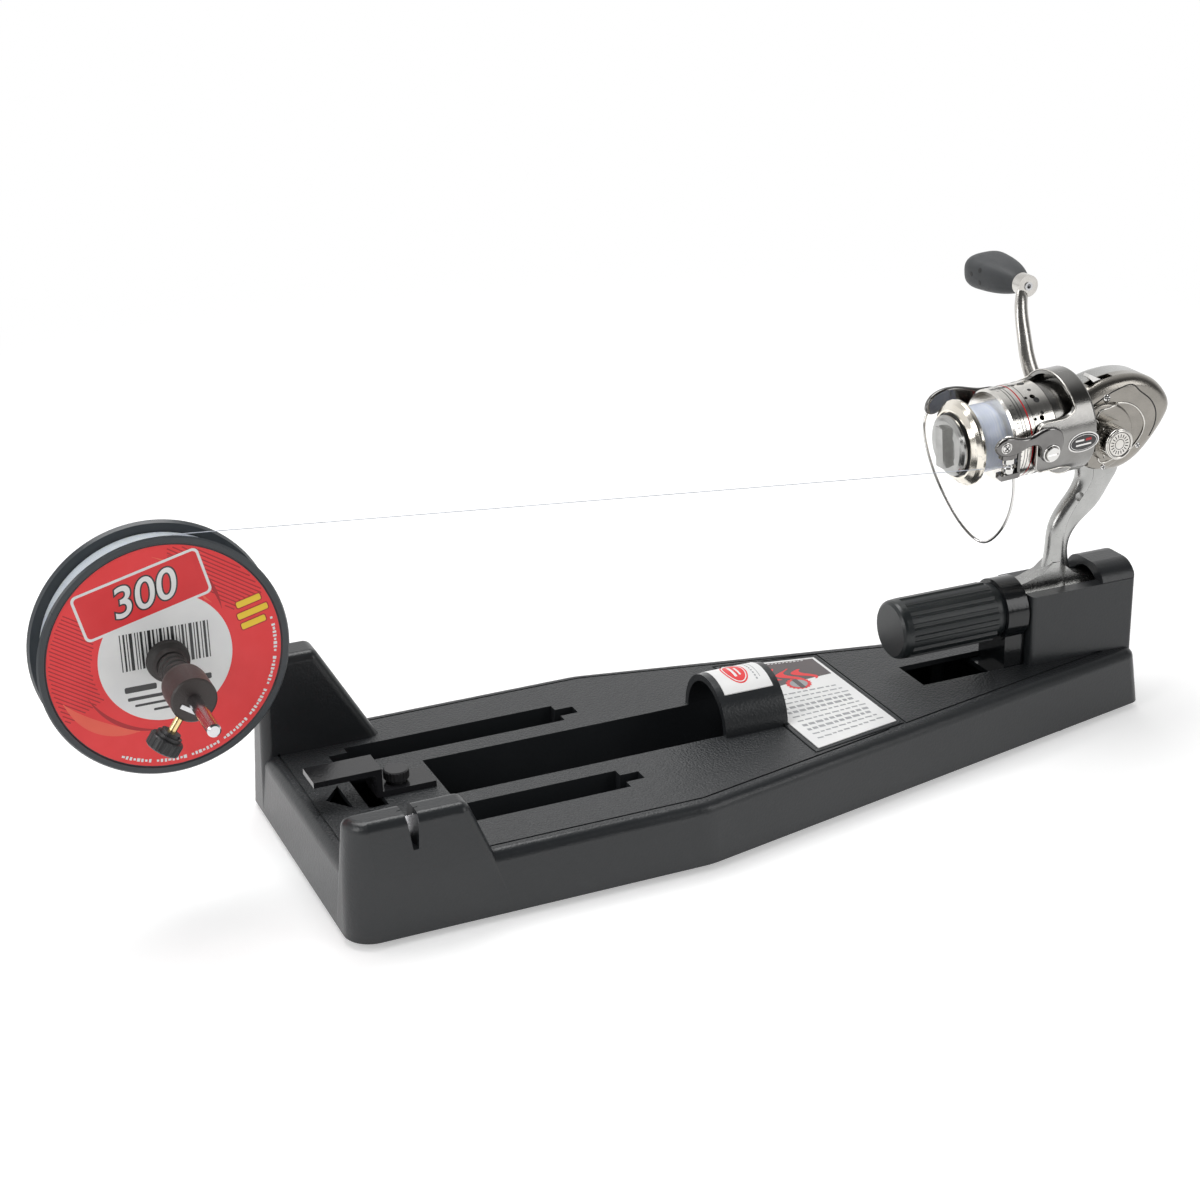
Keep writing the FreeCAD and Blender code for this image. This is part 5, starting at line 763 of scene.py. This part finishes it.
def make_spool_label(name, node, side):
    """Red ring with a white middle, numerals on a banner, bars, stripes and tick marks."""
    low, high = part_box(node)
    right = Vector((-side, 0, 0))
    up = Vector((0, 0, 1))
    outward = Vector((0, side, 0))
    middle = Vector((SUPPLY_AXLE.x * MM, low.y if side < 0 else high.y, SUPPLY_AXLE.z * MM))

    def place(x, y, number):
        return middle + (right * x + up * y) * MM + outward * INK_STEP * number

    print_layers(name, "supply_spool", "spool_label", place, (
        ("stripes", 1, "ink_dark_red", striped(STRIPE_ANGLE, 1.75, 0.55, 26, 84, 36, LABEL_RIM)
         + striped(STRIPE_ANGLE, 1.75, 0.55, 146, 208, 34, LABEL_RIM)),
        ("arcs", 2, "ink_dark_red", [swoosh(34, 34, 84, 50, 2.4), swoosh(40, 200, 262, 36, 2.0)]),
        ("glow", 2, "ink_orange", [swoosh(51, 196, 246, 38, 6.5), swoosh(30, 44, 92, 50, 2.6)]),
        ("middle", 3, "label_white", [oval(0, 0, LABEL_MIDDLE, LABEL_MIDDLE, 96)]),
        ("banner_edge", 4, "label_white", [soft_bar(*BANNER_MIDDLE, 62, 24, 3, LABEL_SLANT)]),
        ("banner", 5, "ink_red", [soft_bar(*BANNER_MIDDLE, 59.4, 21.4, 2, LABEL_SLANT)]),
        ("bars", 4, "ink_black", upright_bars()),
        ("lines", 4, "ink_black", [soft_bar(*line) for line in SMALL_LINES]),
        ("ticks", 3, "label_white", rim_ticks()),
        ("dashes_edge", 3, "ink_dark_red", side_dashes(1, 1.2)),
        ("dashes", 4, "ink_yellow", side_dashes(0, 0.8))))
    slant_right, slant_up = turned_pair(right, up, math.radians(LABEL_SLANT))
    for part, number, thicken, finish_name in (("numerals_edge", 6, 0.9, "ink_black"),
                                               ("numerals", 7, 0.15, "label_white")):
        printed_text(f"{name}_{part}", "supply_spool", NUMERALS, NUMERAL_HEIGHT,
                     place(*NUMERALS_MIDDLE, number), slant_right, slant_up, finish_name,
                     thicken)


make_spool_label("near_print", "near_spool_label", -1)
make_spool_label("far_print", "far_spool_label", 1)


# -------------------- labels on the base

LABEL_TAPER = 0.19
LABEL_MARGIN = 1.6
WAVE_STEPS = 12


def make_base_print():
    """Dark band with red waves, a round seal and rows of small dashes, read from the reel's end."""
    low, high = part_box("base_label")
    centre = (low + high) / 2
    wide = (high.y - low.y) / MM
    deep = (high.x - low.x) / MM
    left, end = -wide / 2, deep / 2

    def place(x, y, number):
        return Vector((centre.x + y * MM, centre.y - x * MM, high.z + INK_STEP * number))

    def inside(x, y):
        """A point drawn in as far as the label's slanted sides ask at its distance along it."""
        share = (y + deep / 2) / deep
        return x * (1 - LABEL_TAPER * share), y

    dark = [inside(left + 2, -end + LABEL_MARGIN), inside(left + 38, -end + LABEL_MARGIN),
            inside(left + 33, 0), inside(left + 29, end - LABEL_MARGIN),
            inside(left + 2, end - LABEL_MARGIN)]

    def wave_edge(number, y, height, lead):
        return [inside(left + 8 + 2.6 * number + 17 * step / WAVE_STEPS,
                       y + 9 * number + height * math.sin(step * 0.45 + number + lead))
                for step in range(WAVE_STEPS + 1)]

    waves = [wave_edge(number, -18, 5, 0) + wave_edge(number, -14.2, 3.4, 0.5)[::-1]
             for number in range(4)]
    seal = inside(left + 36, 2)
    star = [(seal[0] + x, seal[1] + y)
            for x, y in (round_about(7.4 if step % 2 else 6.4, 10 * step) for step in range(36))]
    rows = []
    for row in range(11):
        at = -end + 5
        number = 0
        while at < end - 7:
            length = 2.2 + 1.9 * ((row * 7 + number * 5) % 4) / 3
            spot = inside(left + 47 + row * 5.6, at + length / 2)
            rows.append(bar(*spot, 2.5 if row in (3, 4, 7, 8) else 1.3, length))
            at += length + 1.1
            number += 1
    dots = [bar(*inside(left + 3.6, -end + 8 + 2.1 * number), 0.7, 1.4) for number in range(18)]
    print_layers("base_print", "base", "label", place, (
        ("dark_band", 1, "ink_charcoal", [dark]), ("waves", 2, "ink_red", waves),
        ("seal", 3, "ink_red", [star]), ("seal_middle", 4, "ink_grey", [oval(*seal, 4.9, 4.9)]),
        ("seal_bar", 5, "ink_charcoal", [soft_bar(*seal, 12, 3, 0.7)]),
        ("rows", 2, "ink_grey", rows), ("edge_dots", 3, "label_white", dots)))


def make_arch_print():
    """Red oval ring with bars in it and a row of small dashes, bent over the arch."""
    low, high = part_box("arch_label")
    centre_x = (low.x + high.x) / 2
    plate = PLATE_HEIGHT * MM
    radius = high.z - plate

    def place(x, y, number):
        turn = y * MM / radius
        reach = radius + INK_STEP * number
        return Vector((centre_x + x * MM, -reach * math.sin(turn), plate + reach * math.cos(turn)))

    print_layers("arch_print", "base", "label", place, (
        ("oval", 2, "ink_red", [oval(-1.5, 0, 6.4, 11.2)]),
        ("oval_line", 3, "label_white", [oval(-1.5, 0, 5.6, 10.2)]),
        ("oval_middle", 4, "ink_red", [oval(-1.5, 0, 5.0, 9.5)]),
        ("oval_bars", 5, "label_white",
         [soft_bar(-2.7, 0, 1.5, 11.5, 0.5), soft_bar(0.1, 0.6, 1.1, 8.5, 0.4)]),
        ("dashes", 2, "ink_grey", [bar(7.4, -9.5 + 2.4 * number, 0.9, 1.4) for number in range(9)]),
        ("rule", 2, "ink_grey", [bar(9.6, 0, 0.35, 18)])), slice_step=1.0)


make_base_print()
make_arch_print()


# -------------------- beads and screw heads

OFF_AXIS = Vector((0.13, 0.97, 0.21))
OFF_SWEEP = Vector((0.31, 0.22, 0.93))
LOOK_FROM = 60
RING_STEPS = 36
DOME_SIDES = 40
DOME_RINGS = 7


def square_to(outward):
    """Two directions square to a third and to each other."""
    side = outward.cross(OFF_AXIS).normalized()
    return side, outward.cross(side)


def spoke(side, lift, step, steps):
    """One of the directions that share out a turn, counted from side towards lift."""
    return turned_pair(side, lift, 2 * math.pi * step / steps)[0]


def surface_under(names, start, direction):
    """Where a straight look from a start point first meets the named nodes, and that face's normal."""
    nearest = None
    for name in names:
        hit, spot, normal, _ = nodes[name].ray_cast(start, direction)
        if hit and (nearest is None or (spot - start).length < (nearest[0] - start).length):
            nearest = (spot, normal)
    return nearest


def smooth_path(points, closed, steps=10):
    """More points along a smooth curve through the given ones."""
    row = [points[-1], *points, *points[:2]] if closed else [points[0], *points, points[-1]]
    path = []
    for four in zip(row, row[1:], row[2:], row[3:]):
        for step in range(steps):
            share = step / steps
            path.append(tuple(0.5 * (2 * b + (c - a) * share + (2 * a - 5 * b + 4 * c - d) * share ** 2
                                     + (3 * b - a - 3 * c + d) * share ** 3)
                              for a, b, c, d in zip(*four)))
    return path if closed else path + [tuple(points[-1])]


def strips(pairs, steps, across):
    """Faces between pairs of rows of corners, each row by its first corner's number."""
    return [(near + step, near + (step + 1) % across, far + (step + 1) % across, far + step)
            for near, far in pairs for step in range(steps)]


def bead(name, body, spots, radius, finish_name, slot, closed=False, sides=8):
    """A thin round bead swept through spots in space."""
    row = [spots[-1], *spots, spots[0]] if closed else [spots[0], *spots, spots[-1]]
    corners = []
    for before, spot, after in zip(row, row[1:], row[2:]):
        ahead = (after - before).normalized()
        side = ahead.cross(OFF_SWEEP).normalized()
        lift = side.cross(ahead)
        corners += [spot + spoke(side, lift, step, sides) * radius * MM for step in range(sides)]
    starts = list(range(0, len(corners), sides))
    faces = strips(zip(starts, starts[1:] + starts[:1] * closed), sides, sides)
    if not closed:
        faces += [tuple(reversed(range(sides))), tuple(range(starts[-1], len(corners)))]
    add_piece(name, mesh_of(name, corners, faces), body, finish_name, slot)


def ring_bead(name, body, centre, outward, radius, thickness, finish_name, slot):
    """A round bead in a ring about a direction."""
    side, lift = square_to(outward.normalized())
    spots = [centre + spoke(side, lift, step, RING_STEPS) * radius * MM for step in range(RING_STEPS)]
    bead(name, body, spots, thickness, finish_name, slot, closed=True)


def draped(names, route, lift, closed, side):
    """Spots on one side of the reel that a route of places behind and above its origin falls on."""
    spots = []
    for back, up in smooth_path(route, closed):
        found = surface_under(names, reel_point(back, side * LOOK_FROM, up), reel_across * -side)
        if found:
            spots.append(found[0] + found[1] * lift * MM)
    return spots


BOX_FACES = [(3, 2, 1, 0), (4, 5, 6, 7), (0, 1, 5, 4), (1, 2, 6, 5), (2, 3, 7, 6), (3, 0, 4, 7)]


def dome(name, body, centre, outward, radius, height, finish_name, slot, cuts=0, turn=0.0):
    """A low domed screw head with up to two slots across it, which make a cross."""
    outward = outward.normalized()
    side, lift = turned_pair(*square_to(outward), turn)
    corners = [centre + outward * height * MM]
    for ring in range(1, DOME_RINGS + 1):
        slope = ring / DOME_RINGS * math.pi / 2
        for step in range(DOME_SIDES):
            reach = spoke(side, lift, step, DOME_SIDES) * radius * math.sin(slope)
            corners.append(centre + (reach + outward * height * math.cos(slope)) * MM)
    faces = [(0, 1 + step, 1 + (step + 1) % DOME_SIDES) for step in range(DOME_SIDES)]
    for ring in range(DOME_RINGS - 1):
        near, far = 1 + ring * DOME_SIDES, 1 + (ring + 1) * DOME_SIDES
        for step in range(DOME_SIDES):
            following = (step + 1) % DOME_SIDES
            faces.append((near + step, far + step, far + following, near + following))
    add_piece(name, mesh_of(name, corners, faces), body, finish_name, slot)
    half, thin = radius * 0.72, radius * 0.13
    for number, (along, wide) in enumerate(((side, lift), (lift, side))[:cuts], 1):
        block = [centre + (outward * rise + along * a + wide * b) * MM
                 for rise in (height * 0.55, height + 0.05) for a, b in bar(0, 0, 2 * half, 2 * thin)]
        cut_name = f"{name}_cut_{number}"
        add_piece(cut_name, mesh_of(cut_name, block, BOX_FACES), body, "seam_dark", slot, smooth=False)


# -------------------- trim on the reel

BODY_NODES = ("body_cover", "rear_cap", "reel_body")
PANEL_ROUTE = [(6.7, 2.8), (14, 6.8), (24.6, 6.9), (32.7, 2.9), (37.6, -3.9), (38.3, -9.7),
               (34.7, -16.1), (27.8, -21.3), (17.1, -22.7), (7.5, -21.5)]
OUTER_SEAM = [(5.2, 8.9), (12.6, 12), (18.9, 14.4), (30, 15.9), (35.9, 10.9), (42.5, 4.8),
              (45.9, -2.1), (45.5, -9.2), (42, -16)]
COVER_SCREWS = (("front", 14.3, 11.4, 2.3, 0.9, 0.4), ("1", 10.5, -26.2, 1.6, 0.6, 0.9),
                ("2", 34.4, -19.6, 1.6, 0.6, 0.9))
SKIRT_RADIUS = 25.04
SKIRT_HOLES = 20
SKIRT_TICKS = 60
BADGE_RADIUS = 28.52
BADGE_BACK = -10
ARM_RADIUS = 28.4
ARM_EDGE = [(-38.6, 5), (-37.8, 9.6), (-35.5, 12.8), (-32, 14.2), (-22, 14.2), (-17.6, 14.8),
            (-14.5, 16), (-12.5, 17.6)]
RIM_STEPS = 24
CAP_RINGS = (2.6, 6.4)


def make_body_trim():
    """A raised rib round the side panel and the fine seam behind it, on both sides of the reel."""
    for name, side in (("near", -1), ("far", 1)):
        bead(f"{name}_panel_rib", "base", draped(BODY_NODES, PANEL_ROUTE, 0.05, True, side), 0.6,
             "panel_rib", "body_metal", closed=True)
        bead(f"{name}_outer_seam", "base", draped(BODY_NODES, OUTER_SEAM, -0.12, False, side), 0.4,
             "seam_dark", "body_metal")


def make_skirt_trim():
    """Dark discs of painted shade where the skirt's holes are, a red pinstripe, three dark lines and
    short ticks round the spool's skirt.
    """
    around = 2 * math.pi * SKIRT_RADIUS

    def print_round(name, back, shapes, finish_name, slice_step=None):
        def place(x, y):
            return round_axis(reel_point, back + x, SKIRT_RADIUS, y / SKIRT_RADIUS)

        ink(name, "line_spool", shapes, place, finish_name, "skirt_metal", slice_step)

    # painted shade: flat dark discs stand for the shaded inside of the skirt's holes
    holes = [oval(0, around * number / SKIRT_HOLES, size, size, 20)
             for number, size in enumerate((1.05, 1.7) * (SKIRT_HOLES // 2))]
    print_round("skirt_holes", -30.4, holes, "seam_dark")
    print_round("skirt_pinstripe", -39.5, [bar(0, around / 2, 0.75, around)], "trim_red", 1.3)
    for number, back in enumerate((-36.6, -42.4, -44.2), 1):
        print_round(f"skirt_line_{number}", back, [bar(0, around / 2, 0.35, around)], "seam_dark", 1.3)
    ticks = [bar(0, around * number / SKIRT_TICKS, 1.1, 0.5) for number in range(SKIRT_TICKS)
             if number % 10 > 3]
    print_round("skirt_ticks", -46.4, ticks, "ink_black")


def make_badge():
    """Black oval badge with a bright ring, a small red bar and two bright ones, on the rotor's arm."""
    def place(x, y, number):
        return round_axis(rotor_point, BADGE_BACK + x, BADGE_RADIUS + 0.04 * number, y / BADGE_RADIUS)

    print_layers("badge", "rotor", "rotor_metal", place, (
        ("ring", 1, "chrome", [oval(0, 0, 9.6, 5.9)]),
        ("face", 2, "ink_black", [oval(0, 0, 8.8, 5.2)]),
        ("line", 3, "chrome", [oval(0, 0, 8.1, 4.5)]),
        ("middle", 4, "ink_black", [oval(0, 0, 7.8, 4.2)]),
        ("bar", 5, "trim_red", [soft_bar(2.9, 1.5, 3.6, 1.5, 0.4)]),
        ("lines", 5, "chrome",
         [soft_bar(-2.6, 1.5, 5.4, 1.0, 0.4), soft_bar(0, -1.2, 9.6, 1.0, 0.4)])),
        slice_step=1.0)


def make_rotor_highlight_bead():
    """A bright bead round the rotor's two arms and its rim: partly a real polished edge band, partly a
    painted highlight along that edge.
    """
    rim_back, rim_up = ARM_EDGE[-1]
    start = math.asin(rim_up / ARM_RADIUS)
    over = [(rim_back, start + (math.pi - 2 * start) * step / RIM_STEPS)
            for step in range(1, RIM_STEPS)]
    quarter = [(back, math.asin(up / ARM_RADIUS)) for back, up in smooth_path(ARM_EDGE, False, 4)]
    top = quarter + over + [(back, math.pi - turn) for back, turn in reversed(quarter)]
    loop = top + [(back, -turn) for back, turn in reversed(top)]
    spots = [round_axis(rotor_point, back, ARM_RADIUS, turn) for back, turn in loop]
    # painted highlight: the bead's light finish stands for the highlight that the rotor's edge catches
    bead("rotor_edge_line", "rotor", spots, 0.42, "panel_rib", "rotor_metal", closed=True)


def make_bail_trim():
    """Round bosses about the bail's pivots, and the crosshead screw in the near arm's nose."""
    for name, side in (("near", -1), ("far", 1)):
        ring_bead(f"bail_{name}_boss", "bail", rotor_point(-32, side * 31.7, 0),
                  rotor_across * side, 4.7, 0.55, "chrome", "bail_metal")
    nose = surface_under(("bail_arm_near",), rotor_point(-60.4, -LOOK_FROM, 9.6), rotor_across)
    if nose:
        ring_bead("bail_nose_ring", "bail", *nose, 2.9, 0.4, "chrome", "bail_metal")
        dome("bail_nose_screw", "bail", *nose, 2.3, 0.7, "chrome", "bail_metal", 2, 0.3)


def make_cap_trim():
    """Turned rings and short ribs on the face of the handle's cap, and a bead round its rim."""
    middle = reel_point(11, 0, -9)
    middle.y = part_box("handle_cap")[0].y

    def place(x, y):
        return middle - reel_across * 0.00004 + (reel_back * x + reel_up * y) * MM

    ribs = [bar(*round_about(4.6, 20 * step), 1.9, 0.5, 20 * step) for step in range(18)]
    rings = [band(reach, reach + 0.35, start, start + 180)
             for start in (0, 180) for reach in CAP_RINGS]
    ink("cap_ribs", "crank", ribs + rings, place, "seam_dark", "handle_metal")
    ring_bead("cap_rim", "crank", middle, -reel_across, 7.4, 0.5, "cap_chrome", "handle_metal")


def make_screws():
    """Small crosshead screws in the body's side cover."""
    for name, back, up, radius, height, turn in COVER_SCREWS:
        seat = surface_under(BODY_NODES, reel_point(back, -LOOK_FROM, up), reel_across)
        if seat:
            dome(f"cover_screw_{name}", "base", *seat, radius, height, "chrome", "body_metal", 2, turn)


def make_grip_trim():
    """Three round dimples on each broad side of the handle's grip."""
    low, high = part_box("handle_grip")
    middle = (low + high) / 2
    for side, direction in (("front", Vector((1, 0, 0))), ("rear", Vector((-1, 0, 0)))):
        for number, (along, rise) in enumerate(((3, -3.6), (3, 3.6), (10, 0)), 1):
            start = middle + Vector((0, along, rise)) * MM - direction * 0.1
            found = surface_under(("handle_grip",), start, direction)
            if found:
                dome(f"grip_{side}_dimple_{number}", "grip", *found, 1.5, 0.2, "seam_dark",
                     "grip_rubber")


make_body_trim()
make_skirt_trim()
make_badge()
make_rotor_highlight_bead()
make_bail_trim()
make_cap_trim()
make_screws()
make_grip_trim()


# -------------------- trim on the base

FRAME_MARGIN = 2.2
FRAME_HALF = 0.8
FRAME_HEIGHT = 0.35
FRAME_CORNER = 4
FRAME_SINK = -0.05
CORNER_STEPS = 6


def make_label_frame():
    """A low ridge with round corners on the plate, round the base label."""
    low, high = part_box("base_label")
    top = [vert.co / MM for vert in nodes["base_label"].data.vertices if vert.co.z > high.z - 0.0001]
    left, right = low.x / MM, high.x / MM
    left_half = max(abs(spot.y) for spot in top if spot.x < left + 6) + FRAME_MARGIN
    right_half = max(abs(spot.y) for spot in top if spot.x > right - 6) + FRAME_MARGIN
    left -= FRAME_MARGIN
    right += FRAME_MARGIN
    corners = [Vector((left, -left_half)), Vector((right, -right_half)),
               Vector((right, right_half)), Vector((left, left_half))]
    path = []
    for number, corner in enumerate(corners):
        first = corner + (corners[number - 1] - corner).normalized() * FRAME_CORNER
        last = corner + (corners[(number + 1) % 4] - corner).normalized() * FRAME_CORNER
        for step in range(CORNER_STEPS + 1):
            share = step / CORNER_STEPS
            path.append(first * (1 - share) ** 2 + corner * 2 * share * (1 - share)
                        + last * share ** 2)
    spots, faces = [], []
    total = len(path)
    for number, spot in enumerate(path):
        along = (path[(number + 1) % total] - path[number - 1]).normalized()
        sideways = Vector((-along.y, along.x))
        for side, lift in ((-FRAME_HALF, FRAME_SINK), (0, FRAME_HEIGHT), (FRAME_HALF, FRAME_SINK)):
            spots.append(Vector((*(spot + sideways * side), PLATE_HEIGHT + lift)) * MM)
        faces += strips([(3 * number, 3 * ((number + 1) % total))], 2, 3)
    add_piece("label_frame", mesh_of("label_frame", spots, faces), "base", "base", "base_plastic")


make_label_frame()


# -------------------- floor, light and surroundings

FLOOR_HALF = 30.0
FLOOR_COLOUR = (0.8, 0.8, 0.8, 1)
FLOOR_GLOW = 0.38
FLOOR_FADE = (0.5, 1.1)
ROOM_LEVEL = 0.42
MIRRORED_ROOM = 0.12
MIRRORED_CEILING = 0.6
WHITE = (1, 1, 1, 1)
SOFTBOXES = (("top_softbox", (-0.2, 0.45, 1.5), (0, 0, 0.05), (1.5, 0.7), 15),
             ("left_softbox", (-1.6, -0.5, 0.9), (-0.1, 0, 0.1), (0.7, 1.1), 9),
             ("right_softbox", (1.2, -1.3, 0.8), (0.1, 0, 0.1), (0.5, 1.1), 5))


def mix_shaders(tree, kind, *sources):
    """Adds shaders, or mixes them by a share that comes first."""
    made = add(tree, kind)
    for socket, source in zip(made.inputs, sources):
        feed(tree, socket, source)
    return made.outputs[0]


def make_floor():
    """Pale floor that keeps the winder's shadow and fades to white for the camera farther off."""
    corners = [(x, y, 0) for x, y in bar(0, 0, 2 * FLOOR_HALF, 2 * FLOOR_HALF)]
    floor = put_in_scene("floor", mesh_of("floor", corners, [(0, 1, 2, 3)]))
    tree, _ = new_finish("floor_pale", Roughness=0.9, Specular_IOR_Level=0.1,
                         Base_Color=FLOOR_COLOUR)
    seen = add(tree, "LightPath").outputs
    looked_at = maths(tree, "MAXIMUM", seen["Is Camera Ray"], seen["Is Glossy Ray"])
    glow = add(tree, "Emission", Color=WHITE, Strength=maths(tree, "MULTIPLY", looked_at, FLOOR_GLOW))
    surface = tree.nodes["Principled BSDF"].outputs[0]
    near_floor = mix_shaders(tree, "AddShader", surface, glow.outputs[0])
    distance = vector_maths(tree, "LENGTH", object_place(tree))
    far_off = ramp(tree, distance, *FLOOR_FADE, kind="SMOOTHSTEP")
    white = add(tree, "Emission", Color=WHITE, Strength=1.0)
    faded = mix_shaders(tree, "MixShader", maths(tree, "MULTIPLY", far_off, seen["Is Camera Ray"]),
                        near_floor, white.outputs[0])
    feed(tree, tree.nodes["Material Output"].inputs["Surface"], faded)
    floor.data.materials.append(finish["floor_pale"])


def make_surroundings():
    """Plain studio: white wherever the camera looks, a white backdrop behind the winder and a dimmer
    room in front of it and overhead, which is what its metal parts mirror."""
    world = bpy.data.worlds.new("room")
    world.use_nodes = True
    tree = world.node_tree
    background = tree.nodes["Background"].inputs
    background["Color"].default_value = WHITE
    seen = add(tree, "LightPath").outputs
    facing = split(tree, add(tree, "TexCoord").outputs["Generated"])
    backdrop = ramp(tree, facing["Y"], -0.35, 0.35, MIRRORED_ROOM, 1.0, "SMOOTHSTEP")
    overhead = ramp(tree, facing["Z"], 0.25, 0.8, 1.0, MIRRORED_CEILING, "SMOOTHSTEP")
    mirrored = maths(tree, "MULTIPLY", seen["Is Glossy Ray"],
                     maths(tree, "MULTIPLY", backdrop, overhead))
    plain = maths(tree, "MULTIPLY", maths(tree, "SUBTRACT", 1.0, seen["Is Glossy Ray"]), ROOM_LEVEL)
    looked_at = maths(tree, "MAXIMUM", seen["Is Camera Ray"], seen["Is Transmission Ray"])
    lit = maths(tree, "ADD", mirrored, plain)
    feed(tree, background["Strength"], maths(tree, "MAXIMUM", lit, looked_at))
    bpy.context.scene.world = world


def make_softbox(name, place, aim, size, power):
    """A rectangular lamp that faces a point."""
    data = bpy.data.lights.new(name, "AREA")
    data.shape = "RECTANGLE"
    data.size, data.size_y = size
    data.energy = power
    lamp = put_in_scene(name, data)
    lamp.location = place
    lamp.rotation_mode = "QUATERNION"
    lamp.rotation_quaternion = (Vector(aim) - Vector(place)).to_track_quat("-Z", "Y")


make_floor()
make_surroundings()
for softbox in SOFTBOXES:
    make_softbox(*softbox)

bpy.context.scene.view_settings.view_transform = "Standard"
